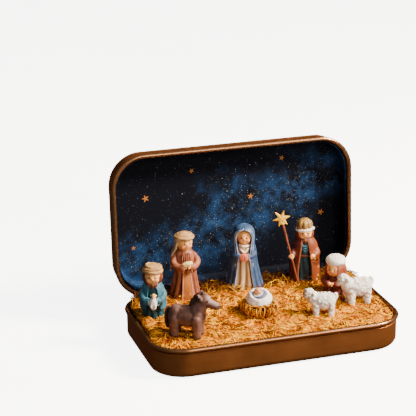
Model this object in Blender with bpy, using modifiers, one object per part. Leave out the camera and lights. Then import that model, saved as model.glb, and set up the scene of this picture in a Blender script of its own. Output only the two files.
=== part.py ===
"""Pocket nativity tin: a hinged sheet-metal tin that stands open, with loose clay figures in straw."""

import math

import bmesh
import bpy
from mathutils import Matrix, Vector

MM = 0.001

# The tin, measured over its rolled rim, standing on its flat underside with the lid behind
TIN_LENGTH = 96.0 * MM
TIN_DEPTH = 56.0 * MM
BASE_HEIGHT = 11.6 * MM
LID_HEIGHT = 9.4 * MM
CORNER_RADIUS = 13.2 * MM
SHEET = 0.35 * MM
ROLL_RADIUS = 0.7 * MM
NECK_HEIGHT = 1.05 * MM
SHOULDER_HEIGHT = 0.45 * MM
FLOOR_EDGE_RADIUS = 2.2 * MM
PANEL_EDGE_RADIUS = 1.6 * MM
GROOVE_FROM_PANEL = 2.4 * MM
GROOVE_WIDTH = 0.8 * MM
GROOVE_DEPTH = 0.4 * MM

# The hinge: two tabs of the lid curl round a wire that lies in the rear roll of the base
WIRE_RADIUS = 0.28 * MM
WIRE_LENGTH = 62.0 * MM
TAB_WIDTH = 9.0 * MM
TAB_SPREAD = 44.0 * MM
TAB_SHEET = 0.3 * MM
TAB_LIP = 1.5 * MM
TAB_SIDE_PLAY = 0.4 * MM
OPEN_ANGLE = 93.0
RIM_PLAY = 0.3 * MM

# The printed night-sky card inside the lid
CARD = 0.4 * MM
CARD_EDGE = 1.6 * MM
CARD_BACK_OFF = 1.6 * MM

# The straw bed, below the rim at the front and heaped toward the rear, in locks with a few taller tufts
STRAW_BELOW_RIM = 1.3 * MM
STRAW_HEAP = 2.8 * MM
STRAW_SIDE_PLAY = 0.35 * MM
STRAW_CELL = 3.0 * MM
STRAW_LUMP = 0.6 * MM
STRAW_LUMP_SPACING = 9.2 * MM
STRAW_EDGE_DROP = 0.9 * MM
STRAW_EDGE_REACH = 2.2 * MM
STRAW_TUFT = 1.5 * MM
STRAW_TUFT_REACH = 3.4 * MM
STRAW_TUFTS = ((-0.115, 0.37), (0.115, 0.38), (0.385, 0.33), (-0.37, 0.33))
FOOT_SINK = 0.7 * MM
FOOT_PLAY = 0.35 * MM

# Clearance between pieces that touch
GAP = 0.25 * MM

# Standing shepherd with a carried lamb, at the left end
SHEPHERD_AT = (-0.4135 * TIN_LENGTH, 0.11 * TIN_DEPTH)
SHEPHERD_TURN = -17.0
SHEPHERD_ROBE_HEIGHT = 13.5 * MM
SHEPHERD_HEM = 4.2 * MM
SHEPHERD_SHOULDER = 3.1 * MM
SHEPHERD_HEAD = 3.1 * MM
SHEPHERD_CLOAK = 0.8 * MM
SHEPHERD_COIL = 1.15 * MM
CARRIED_LAMB_LENGTH = 6.2 * MM

# Tall traveller with a bundle
TRAVELLER_AT = (-0.2458 * TIN_LENGTH, 0.35 * TIN_DEPTH)
TRAVELLER_TURN = -4.0
TRAVELLER_ROBE_HEIGHT = 19.4 * MM
TRAVELLER_HEM = 5.9 * MM
TRAVELLER_SHOULDER = 3.9 * MM
TRAVELLER_HEAD = 3.0 * MM
TRAVELLER_VEIL = 0.9 * MM
VEIL_HANG = 0.5 * MM
TRAVELLER_PANEL = 0.9 * MM
TRAVELLER_ROLL = 0.75 * MM
BUNDLE_LENGTH = 4.4 * MM

# Mother in a long hooded mantle
MOTHER_AT = (0.0021 * TIN_LENGTH, 0.3607 * TIN_DEPTH)
MOTHER_TURN = -19.0
MOTHER_DRESS_HEIGHT = 18.7 * MM
MOTHER_HEM = 5.3 * MM
MOTHER_SHOULDER = 3.2 * MM
MOTHER_HEAD = 2.95 * MM
MOTHER_HAIR = 0.6 * MM
MOTHER_MANTLE = 1.1 * MM

# King with a staff that carries a star
KING_AT = (0.2552 * TIN_LENGTH, 0.3518 * TIN_DEPTH)
KING_TURN = -16.0
KING_TUNIC_HEIGHT = 17.9 * MM
KING_HEM = 3.9 * MM
KING_SHOULDER = 3.2 * MM
KING_COAT = 1.6 * MM
KING_HEAD = 3.05 * MM
KING_HAND = 1.15 * MM
CROWN_HEIGHT = 4.2 * MM
CROWN_RIBS = 7
CROWN_RIB_DEPTH = 0.05
HEADBAND_RADIUS = 0.55 * MM
STAFF_RADIUS = 0.42 * MM
STAFF_LENGTH = 25.8 * MM
STAFF_LEAN = 14.0
STAR_RADIUS = 3.5 * MM
STAR_THICKNESS = 1.1 * MM

# Kneeling shepherd in a woolly cap
KNEELER_AT = (0.3323 * TIN_LENGTH, 0.1 * TIN_DEPTH)
KNEELER_TURN = -42.0
KNEELER_ROBE_HEIGHT = 8.6 * MM
KNEELER_HEM = 5.2 * MM
KNEELER_SHOULDER = 3.4 * MM
KNEELER_HEAD = 3.1 * MM
KNEELER_SCARF = 0.8 * MM
KNEELER_CAP = 4.1 * MM

# Manger of bound straw with the infant on a white quilt
MANGER_AT = (-0.0229 * TIN_LENGTH, -0.075 * TIN_DEPTH)
MANGER_TURN = -19.0
BASKET_RADIUS = 7.1 * MM
BASKET_HEIGHT = 5.7 * MM
BASKET_RIBS = 18
BASKET_RIB_DEPTH = 0.04
QUILT_RADIUS = 4.95 * MM
QUILT_TILT = 22.0
INFANT_HEAD = 1.55 * MM

# Two lambs and the donkey
LAMB_FRONT_AT = (0.2073 * TIN_LENGTH, -0.2179 * TIN_DEPTH)
LAMB_FRONT_TURN = 164.0
LAMB_FRONT_LENGTH = 13.2 * MM
LAMB_BACK_AT = (0.3771 * TIN_LENGTH, -0.1071 * TIN_DEPTH)
LAMB_BACK_TURN = 178.0
LAMB_BACK_LENGTH = 15.0 * MM
DONKEY_AT = (-0.3333 * TIN_LENGTH, -0.2571 * TIN_DEPTH)
DONKEY_TURN = -33.0
DONKEY_LENGTH = 17.0 * MM
DONKEY_LEG_RADIUS = 1.6 * MM

# Faces round each kind of shape
CORNER_STEPS = 5
EDGE_STEPS = 3
ROLL_STEPS = 6
TAB_STEPS = 7
RING_STEPS = 8
HAT_SIDES = 14
ROBE_SIDES = 12
BALL_SIDES = 10
BALL_RINGS = 7
MERGE_ANGLE = 3.0

# Worked out from the sizes above
ROLL_OUTER = ROLL_RADIUS + SHEET / 2.0
WALL_LENGTH = TIN_LENGTH - 2.0 * ROLL_OUTER
WALL_DEPTH = TIN_DEPTH - 2.0 * ROLL_OUTER
WALL_CORNER = CORNER_RADIUS - ROLL_OUTER
HINGE_Y = WALL_DEPTH / 2.0
HINGE_Z = BASE_HEIGHT - ROLL_OUTER

FINISHES = {
    "tin_copper": ((0.46, 0.20, 0.09), 0.32, 0.9),
    "sky_card": ((0.015, 0.03, 0.08), 0.7, 0.0),
    "straw": ((0.85, 0.50, 0.12), 0.85, 0.0),
    "steel_wire": ((0.45, 0.42, 0.40), 0.4, 1.0),
    "skin_clay": ((0.85, 0.52, 0.33), 0.6, 0.0),
    "pale_skin_clay": ((0.93, 0.70, 0.58), 0.6, 0.0),
    "hair_clay": ((0.27, 0.10, 0.05), 0.7, 0.0),
    "yellow_hair_clay": ((0.85, 0.55, 0.15), 0.65, 0.0),
    "cream_clay": ((0.85, 0.72, 0.52), 0.7, 0.0),
    "teal_clay": ((0.05, 0.20, 0.27), 0.65, 0.0),
    "blue_clay": ((0.16, 0.38, 0.50), 0.65, 0.0),
    "rose_brown_clay": ((0.48, 0.20, 0.13), 0.65, 0.0),
    "ochre_clay": ((0.72, 0.38, 0.13), 0.6, 0.0),
    "mantle_clay": ((0.17, 0.25, 0.42), 0.65, 0.0),
    "coral_clay": ((0.80, 0.28, 0.20), 0.6, 0.0),
    "terracotta_clay": ((0.55, 0.17, 0.07), 0.6, 0.0),
    "wine_clay": ((0.22, 0.03, 0.03), 0.65, 0.0),
    "gold_clay": ((0.80, 0.52, 0.16), 0.35, 0.6),
    "staff_clay": ((0.28, 0.11, 0.07), 0.6, 0.0),
    "white_clay": ((0.88, 0.86, 0.82), 0.85, 0.0),
    "muzzle_clay": ((0.55, 0.48, 0.42), 0.7, 0.0),
    "donkey_clay": ((0.26, 0.15, 0.13), 0.7, 0.0),
    "mane_clay": ((0.10, 0.05, 0.05), 0.8, 0.0),
}


def clear_scene():
    for old in list(bpy.data.objects):
        bpy.data.objects.remove(old, do_unlink=True)


def make_collection(name):
    group = bpy.data.collections.new(name)
    bpy.context.scene.collection.children.link(group)
    return group


clear_scene()
PARTS = make_collection("pocket_nativity_tin")
CUTTERS = make_collection("cutters")


def finish(name):
    """The clay, metal or straw of the given name, made once."""
    found = bpy.data.materials.get(name)
    if found:
        return found
    colour, roughness, metallic = FINISHES[name]
    made = bpy.data.materials.new(name)
    made.use_nodes = True
    shader = made.node_tree.nodes["Principled BSDF"]
    shader.inputs["Base Color"].default_value = (*colour, 1.0)
    shader.inputs["Roughness"].default_value = roughness
    shader.inputs["Metallic"].default_value = metallic
    made.diffuse_color = (*colour, 1.0)
    return made


def holder(name, place, turn=0.0, axis="Z"):
    """An empty that carries the pieces of one moving body."""
    empty = bpy.data.objects.new(name, None)
    empty.location = place
    empty.rotation_euler = Matrix.Rotation(math.radians(turn), 3, axis).to_euler()
    empty.empty_display_size = 0.01
    PARTS.objects.link(empty)
    return empty


def piece(name, shape, finish_name, parent=None):
    """A named piece of the object, made from a shape and carried by its body's empty."""
    mesh = shape(0.0)
    mesh.name = name
    mesh.materials.append(finish(finish_name))
    mesh.shade_smooth()
    mesh.set_sharp_from_angle(angle=math.radians(50.0))
    made = bpy.data.objects.new(name, mesh)
    made.parent = parent
    PARTS.objects.link(made)
    return made


def add_boolean(target, shape, grow, operation):
    """Cut or join a shape that lies in the same frame as the target."""
    mesh = shape(grow)
    tool = bpy.data.objects.new(target.name + "_" + operation.lower(), mesh)
    tool.parent = target.parent
    tool.hide_render = True
    tool.display_type = "WIRE"
    CUTTERS.objects.link(tool)
    step = target.modifiers.new(operation.title(), "BOOLEAN")
    step.operation = operation
    step.solver = "EXACT"
    step.object = tool


def cut(target, *shapes, grow=GAP):
    """Hollow the target so that each neighbour seats in it with a gap."""
    for shape in shapes:
        add_boolean(target, shape, grow, "DIFFERENCE")


def join(target, *shapes):
    """Fuse more lumps to the target, as one body."""
    for shape in shapes:
        add_boolean(target, shape, 0.0, "UNION")


def mesh_from(work):
    """The finished mesh, in triangles so that every face is truly flat."""
    bmesh.ops.triangulate(work, faces=work.faces)
    mesh = bpy.data.meshes.new("shape")
    work.to_mesh(mesh)
    work.free()
    return mesh


def evaluated_mesh(source, weld=1e-6):
    """The mesh that a temporary curve or profile makes, welded shut, with the source removed."""
    bpy.context.scene.collection.objects.link(source)
    bpy.context.view_layer.update()
    mesh = bpy.data.meshes.new_from_object(source.evaluated_get(bpy.context.evaluated_depsgraph_get()))
    bpy.data.objects.remove(source, do_unlink=True)
    work = bmesh.new()
    work.from_mesh(mesh)
    bmesh.ops.remove_doubles(work, verts=work.verts, dist=weld)
    bpy.data.meshes.remove(mesh)
    return mesh_from(work)


def ball(centre, radii, sides=BALL_SIDES, rings=BALL_RINGS, tilt=0.0, tilt_axis="X"):
    """A rolled lump of clay: an ellipsoid at a place, tilted about one axis."""
    def build(grow):
        work = bmesh.new()
        bmesh.ops.create_uvsphere(work, u_segments=sides, v_segments=rings, radius=1.0)
        swell = Matrix.Diagonal((radii[0] + grow, radii[1] + grow, radii[2] + grow, 1.0))
        lean = Matrix.Rotation(math.radians(tilt), 4, tilt_axis)
        bmesh.ops.transform(work, matrix=Matrix.Translation(centre) @ lean @ swell, verts=work.verts)
        return mesh_from(work)
    return build


def block(centre, size, turn=0.0, axis="Z"):
    """A box used for straight cuts."""
    def build(grow):
        work = bmesh.new()
        bmesh.ops.create_cube(work, size=1.0)
        swell = Matrix.Diagonal((size[0] + 2 * grow, size[1] + 2 * grow, size[2] + 2 * grow, 1.0))
        lean = Matrix.Rotation(math.radians(turn), 4, axis)
        bmesh.ops.transform(work, matrix=Matrix.Translation(centre) @ lean @ swell, verts=work.verts)
        return mesh_from(work)
    return build


def rod(start, end, start_radius, end_radius, sides=8):
    """A tapered round bar between two points, with flat ends."""
    def build(grow):
        first, last = Vector(start), Vector(end)
        along = (last - first).normalized()
        first = first - along * grow
        last = last + along * grow
        work = bmesh.new()
        bmesh.ops.create_cone(work, cap_ends=True, segments=sides, radius1=start_radius + grow,
                              radius2=end_radius + grow, depth=(last - first).length)
        aim = along.to_track_quat("Z", "Y").to_matrix().to_4x4()
        place = Matrix.Translation((first + last) / 2.0) @ aim
        bmesh.ops.transform(work, matrix=place, verts=work.verts)
        return mesh_from(work)
    return build


def tube(points, radii, resolution=1):
    """A bent roll of clay or wire: a curve through points with a radius at each."""
    def build(grow):
        curve = bpy.data.curves.new("roll", "CURVE")
        curve.dimensions = "3D"
        curve.bevel_depth = radii[0] + grow
        curve.bevel_resolution = resolution
        curve.use_fill_caps = True
        spline = curve.splines.new("POLY")
        spline.points.add(len(points) - 1)
        for knot, place, radius in zip(spline.points, points, radii):
            knot.co = (*place, 1.0)
            knot.radius = (radius + grow) / (radii[0] + grow)
        return evaluated_mesh(bpy.data.objects.new("roll", curve))
    return build


def turned(profile, sides=ROBE_SIDES, depth_ratio=1.0, closed=False):
    """A profile of (radius, height) from top to bottom turned about a vertical axis."""
    def build(grow):
        outline = offset_profile(profile, grow, closed)
        mesh = bpy.data.meshes.new("profile")
        edges = [(i, i + 1) for i in range(len(outline) - 1)]
        if closed:
            edges.append((len(outline) - 1, 0))
        mesh.from_pydata([(r, 0.0, z) for r, z in outline], edges, [])
        source = bpy.data.objects.new("profile", mesh)
        screw = source.modifiers.new("Screw", "SCREW")
        screw.steps = sides
        screw.render_steps = sides
        screw.use_merge_vertices = True
        screw.merge_threshold = 0.00001
        made = evaluated_mesh(source)
        made.transform(Matrix.Diagonal((1.0, depth_ratio, 1.0, 1.0)))
        return made
    return build


def offset_profile(profile, grow, closed):
    """Move each profile point outward along its own normal."""
    if grow == 0.0:
        return profile
    count = len(profile)
    grown = []
    for i, (radius, height) in enumerate(profile):
        before = profile[(i - 1) % count] if closed or i > 0 else profile[i]
        after = profile[(i + 1) % count] if closed or i < count - 1 else profile[i]
        run = Vector((after[0] - before[0], after[1] - before[1])).normalized()
        on_axis = radius < 1e-9
        out_r = 0.0 if on_axis else -run.y * grow
        out_z = math.copysign(grow, run.x) if on_axis else run.x * grow
        grown.append((radius + out_r, height + out_z))
    return grown


def loft(rings, cap_ends=True):
    """A skin over rings that have equal numbers of points, each running counter-clockwise."""
    work = bmesh.new()
    loops = [[work.verts.new(point) for point in ring] for ring in rings]
    count = len(rings[0])
    for low, high in zip(loops, loops[1:]):
        for i in range(count):
            j = (i + 1) % count
            work.faces.new((low[i], low[j], high[j], high[i]))
    if cap_ends:
        work.faces.new(list(reversed(loops[0])))
        work.faces.new(loops[-1])
    return mesh_from(work)


def robe(stations, folds=0, fold_depth=0.0, sides=ROBE_SIDES, fade=2.0):
    """A clay garment: stations of (height, half width, half depth, forward shift) from the hem up.

    Its folds are deepest at the hem and die out above, unless the fade is 0.
    """
    def build(grow):
        lowest, highest = stations[0][0], stations[-1][0]
        rings = []
        for height, wide, deep, forward in stations:
            share = (height - lowest) / (highest - lowest)
            level = height - grow if height == lowest else height
            level = height + grow if height == highest else level
            ring = []
            for side in range(sides):
                angle = 2.0 * math.pi * side / sides
                swell = 1.0 + fold_depth * (1.0 - share) ** fade * math.cos(folds * angle)
                x = (wide * swell + grow) * math.cos(angle)
                y = (deep * swell + grow) * math.sin(angle) - forward
                ring.append((x, y, level))
            rings.append(ring)
        return loft(rings)
    return build


def robe_stations(height, hem, shoulder, depth_ratio=0.82, waist=0.5):
    """A robe's usual line: a slightly turned-in hem, a slope to the shoulders and a round neck."""
    slope = hem - shoulder
    line = (
        (0.0, hem * 0.94),
        (0.05, hem),
        (0.30, shoulder + slope * 0.62),
        (0.60, shoulder + slope * waist * 0.40),
        (0.84, shoulder),
        (0.94, shoulder * 0.86),
        (1.0, shoulder * 0.52),
    )
    return [(height * share, half, half * depth_ratio, 0.0) for share, half in line]


def rounded_ring(offset, height, length, depth, corner):
    """A rounded rectangle, grown by an offset, as points at one height."""
    radius = corner + offset
    reach_x = length / 2.0 + offset - radius
    reach_y = depth / 2.0 + offset - radius
    ring = []
    for quarter, (sx, sy) in enumerate(((1, 1), (-1, 1), (-1, -1), (1, -1))):
        for step in range(CORNER_STEPS + 1):
            angle = math.pi / 2.0 * (quarter + step / CORNER_STEPS)
            ring.append((sx * reach_x + radius * math.cos(angle),
                         sy * reach_y + radius * math.sin(angle), height))
    return ring


def pressed_profile(wall_top, edge_radius, groove=False):
    """Offsets and heights of a pressed pan's mid-sheet, from its flat to the end of its rolled rim."""
    line = []
    for step in range(EDGE_STEPS + 1):
        angle = math.pi / 2.0 * step / EDGE_STEPS
        inward = edge_radius * (1.0 - math.sin(angle))
        line.append((-inward, SHEET / 2.0 + edge_radius * (1.0 - math.cos(angle))))
    roll_height = wall_top - ROLL_OUTER
    neck = roll_height - NECK_HEIGHT
    if groove:
        line.append((0.0, GROOVE_FROM_PANEL))
        line.append((-GROOVE_DEPTH, GROOVE_FROM_PANEL + GROOVE_WIDTH / 4.0))
        line.append((-GROOVE_DEPTH, GROOVE_FROM_PANEL + GROOVE_WIDTH * 3.0 / 4.0))
        line.append((0.0, GROOVE_FROM_PANEL + GROOVE_WIDTH))
    line.append((0.0, neck - SHOULDER_HEIGHT))
    line.append((-ROLL_RADIUS, neck))
    for step in range(ROLL_STEPS + 1):
        angle = math.radians(180.0 - 270.0 * step / ROLL_STEPS)
        line.append((ROLL_RADIUS * math.cos(angle), roll_height + ROLL_RADIUS * math.sin(angle)))
    return line


def pressed_pan(name, wall_top, edge_radius, finish_name, parent, groove=False, flipped=False):
    """A pan pressed from sheet: floor, round edge, wall, neck and a rim rolled outward."""
    line = pressed_profile(wall_top, edge_radius, groove)
    rings = [rounded_ring(offset, height, WALL_LENGTH, WALL_DEPTH, WALL_CORNER) for offset, height in line]

    def build(grow):
        mesh = loft(rings, cap_ends=False)
        work = bmesh.new()
        work.from_mesh(mesh)
        work.verts.ensure_lookup_table()
        work.faces.new(list(reversed(work.verts[:len(rings[0])])))
        if flipped:
            bmesh.ops.transform(work, matrix=Matrix.Diagonal((1.0, 1.0, -1.0, 1.0)), verts=work.verts)
            bmesh.ops.reverse_faces(work, faces=work.faces)
        return mesh_from(work)

    made = piece(name, build, finish_name, parent)
    wall = made.modifiers.new("Sheet", "SOLIDIFY")
    wall.thickness = SHEET
    wall.offset = 0.0
    return made


def strip(path, width, middle_x, thickness):
    """A bent strip of sheet: a path of (y, z) points, as wide as asked along X."""
    def build(grow):
        rows = [[(middle_x + side * width / 2.0, y, z) for y, z in path] for side in (-1, 1)]
        work = bmesh.new()
        left = [work.verts.new(point) for point in rows[0]]
        right = [work.verts.new(point) for point in rows[1]]
        for i in range(len(path) - 1):
            work.faces.new((left[i], right[i], right[i + 1], left[i + 1]))
        source = bpy.data.objects.new("strip", mesh_from(work))
        skin = source.modifiers.new("Sheet", "SOLIDIFY")
        skin.thickness = thickness
        skin.offset = 0.0
        skin.use_even_offset = True
        return evaluated_mesh(source)
    return build


def merge_flat_faces():
    """Join the nearly level slivers that the cuts leave on each clay lump."""
    for made in PARTS.objects:
        if made.type == "MESH" and made.modifiers:
            merge = made.modifiers.new("Merge", "DECIMATE")
            merge.decimate_type = "DISSOLVE"
            merge.angle_limit = math.radians(MERGE_ANGLE)


# Base pan, with a slot in its rear rim for each hinge tab
TAB_CENTRES = (-TAB_SPREAD / 2.0, TAB_SPREAD / 2.0)
SLOT_DROP = NECK_HEIGHT + SHOULDER_HEIGHT + RIM_PLAY
SLOT_HEIGHT = SLOT_DROP + 2.0 * ROLL_OUTER + RIM_PLAY
SLOT_REACH = 4.0 * ROLL_OUTER


def tab_slot(middle_x, middle_z, height):
    return block((middle_x, HINGE_Y, middle_z), (TAB_WIDTH + 2.0 * TAB_SIDE_PLAY, SLOT_REACH, height))


def build_base():
    base = pressed_pan("base_pan", BASE_HEIGHT, FLOOR_EDGE_RADIUS, "tin_copper", None)
    slot_middle = HINGE_Z - SLOT_DROP + SLOT_HEIGHT / 2.0
    for middle_x in TAB_CENTRES:
        cut(base, tab_slot(middle_x, slot_middle, SLOT_HEIGHT), grow=0.0)
    ends = [(-WIRE_LENGTH / 2.0, HINGE_Y, HINGE_Z), (WIRE_LENGTH / 2.0, HINGE_Y, HINGE_Z)]
    piece("hinge_wire", tube(ends, [WIRE_RADIUS, WIRE_RADIUS], resolution=2), "steel_wire")


def straw_level(y):
    """Height of the straw at a distance from the front, before its lumps."""
    share = (y + TIN_DEPTH / 2.0) / TIN_DEPTH
    return BASE_HEIGHT - STRAW_BELOW_RIM + STRAW_HEAP * share


def seat_height(place):
    """Height of the underside of what stands in the straw at a place."""
    return straw_level(place[1]) - FOOT_SINK


def straw_top(x, y):
    """Height of the straw with its locks, its tufts and the drop toward the tin's wall."""
    wave = 2.0 * math.pi / STRAW_LUMP_SPACING
    lock = math.sin(wave * x + math.sin(0.4 * wave * y)) * math.cos(wave * y + math.sin(0.3 * wave * x))
    height = straw_level(y) + lock * STRAW_LUMP
    for share_x, share_y in STRAW_TUFTS:
        away = math.hypot(x - share_x * TIN_LENGTH, y - share_y * TIN_DEPTH)
        height += STRAW_TUFT * math.exp(-(away / STRAW_TUFT_REACH) ** 2)
    edge = max(0.0, min(WALL_LENGTH / 2.0 - abs(x), WALL_DEPTH / 2.0 - abs(y)))
    return height - STRAW_EDGE_DROP * math.exp(-edge / STRAW_EDGE_REACH)


def straw_heap(grow):
    """A slab with the straw's top, one upright slice after another from front to rear."""
    columns = math.ceil(TIN_LENGTH / STRAW_CELL)
    rows = math.ceil(TIN_DEPTH / STRAW_CELL)
    slices = []
    for row in range(rows + 1):
        y = TIN_DEPTH * (row / rows - 0.5)
        slice_top = []
        for column in range(columns + 1):
            x = TIN_LENGTH * (column / columns - 0.5)
            slice_top.append((x, y, straw_top(x, y)))
        slices.append(slice_top + [(TIN_LENGTH / 2.0, y, 0.0), (-TIN_LENGTH / 2.0, y, 0.0)])
    return loft(slices)


def build_straw(feet):
    """The heaped straw inside the pan, with a shallow pocket under each figure."""
    inset = ROLL_RADIUS + SHEET / 2.0 + STRAW_SIDE_PLAY
    floor = SHEET + GAP
    above = straw_level(TIN_DEPTH / 2.0) + STRAW_TUFT + 2.0 * STRAW_LUMP
    outline = [(-FLOOR_EDGE_RADIUS - GAP, floor), (-inset, floor + FLOOR_EDGE_RADIUS), (-inset, above)]

    def room_in_pan(grow):
        return loft([rounded_ring(offset, height, WALL_LENGTH, WALL_DEPTH, WALL_CORNER)
                     for offset, height in outline])

    bed = piece("straw_bed", straw_heap, "straw")
    add_boolean(bed, room_in_pan, 0.0, "INTERSECT")
    for place, turn, reach_x, reach_y in feet:
        bottom = seat_height(place) - GAP
        lean = Matrix.Rotation(math.radians(turn), 3, "Z")

        def pocket(grow, place=place, reach_x=reach_x, reach_y=reach_y, bottom=bottom, lean=lean):
            rings = []
            for level in (bottom, above):
                ring = []
                for side in range(BALL_SIDES):
                    angle = 2.0 * math.pi * side / BALL_SIDES
                    spot = lean @ Vector((reach_x * math.cos(angle), reach_y * math.sin(angle), 0.0))
                    ring.append((place[0] + spot.x, place[1] + spot.y, level))
                rings.append(ring)
            return loft(rings)

        cut(bed, pocket, grow=0.0)


def build_lid():
    """Lid pan with its hinge tabs and sky card, made shut about the hinge and then swung open."""
    swing = holder("lid_hinge", (0.0, HINGE_Y, HINGE_Z), -OPEN_ANGLE, "X")
    rim_to_axis = ROLL_OUTER + RIM_PLAY
    top = rim_to_axis + LID_HEIGHT

    def shut(shape):
        def build(grow):
            mesh = shape(grow)
            mesh.transform(Matrix.Translation((0.0, -HINGE_Y, top)))
            return mesh
        return build

    lid = pressed_pan("lid_pan", LID_HEIGHT, PANEL_EDGE_RADIUS, "tin_copper", swing,
                      groove=True, flipped=True)
    lid.data.transform(Matrix.Translation((0.0, -HINGE_Y, top)))
    roll_centre = rim_to_axis + ROLL_OUTER
    root = roll_centre + NECK_HEIGHT * 0.85
    notch_bottom = rim_to_axis - RIM_PLAY
    notch_top = roll_centre + ROLL_OUTER + RIM_PLAY / 2.0
    notch_depth = ROLL_OUTER + ROLL_RADIUS - SHEET
    lip = ROLL_RADIUS + TAB_LIP
    stop = math.acos((SHEET / 2.0 + RIM_PLAY + TAB_SHEET / 2.0) / lip)
    tail = math.radians(OPEN_ANGLE) - stop
    path = [(-ROLL_RADIUS, root), (-ROLL_RADIUS, roll_centre), (-ROLL_RADIUS, ROLL_OUTER)]
    for step in range(TAB_STEPS + 1):
        angle = math.pi + (math.pi + tail) * step / TAB_STEPS
        path.append((ROLL_RADIUS * math.cos(angle), ROLL_RADIUS * math.sin(angle)))
    path.append((lip * math.cos(tail), lip * math.sin(tail)))
    for middle_x in TAB_CENTRES:
        notch_y = -ROLL_RADIUS + SHEET + notch_depth
        notch = block((middle_x, notch_y, (notch_bottom + notch_top) / 2.0),
                      (TAB_WIDTH, 2.0 * notch_depth, notch_top - notch_bottom))
        cut(lid, notch, grow=0.0)
        join(lid, strip(path, TAB_WIDTH * 0.98, middle_x, TAB_SHEET))

    inset = ROLL_RADIUS + SHEET / 2.0 + GAP + CARD / 2.0
    deck = SHEET + GAP + CARD / 2.0
    card_line = [(-inset - CARD_EDGE, deck), (-inset - CARD_EDGE * 0.3, deck + CARD_EDGE * 0.3),
                 (-inset, deck + CARD_EDGE), (-inset, LID_HEIGHT - CARD_BACK_OFF)]
    card_rings = [rounded_ring(offset, height, WALL_LENGTH, WALL_DEPTH, WALL_CORNER)
                  for offset, height in card_line]

    def card(grow):
        work = bmesh.new()
        work.from_mesh(loft(card_rings, cap_ends=False))
        work.verts.ensure_lookup_table()
        work.faces.new(list(reversed(work.verts[:len(card_rings[0])])))
        bmesh.ops.transform(work, matrix=Matrix.Diagonal((1.0, 1.0, -1.0, 1.0)), verts=work.verts)
        bmesh.ops.reverse_faces(work, faces=work.faces)
        return mesh_from(work)

    liner = piece("lid_sky_card", shut(card), "sky_card", swing)
    skin = liner.modifiers.new("Card", "SOLIDIFY")
    skin.thickness = CARD
    skin.offset = 0.0


def standing(name, place, turn):
    """The empty under one loose figure, on its seat in the straw."""
    return holder(name, (place[0], place[1], seat_height(place)), turn)


def arms(shoulder_x, shoulder_z, wrist, radius, hand):
    """Two sleeves that come forward from the shoulders to hands that meet in front."""
    elbow = (-shoulder_x * 1.08, wrist[1] * 0.55, (shoulder_z + wrist[2]) / 2.0)
    left = [(-shoulder_x, 0.0, shoulder_z), elbow, (-wrist[0], wrist[1], wrist[2])]
    right = [(-x, y, z) for x, y, z in left]
    thick = [radius, radius * 1.05, radius * 0.85]
    hands = ball((0.0, wrist[1] - hand * 0.2, wrist[2]), (wrist[0] + hand * 0.6, hand, hand), rings=6)
    return tube(left, thick), tube(right, thick), hands


def build_head(name, face, centre, size, finish_name, body):
    """A head with a small nose pressed on its front."""
    made = piece(name, face, finish_name, body)
    nose_at = (centre[0], centre[1] - size * 0.93, centre[2] - size * 0.06)
    join(made, ball(nose_at, (size * 0.14, size * 0.16, size * 0.17), sides=8, rings=6))


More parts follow.
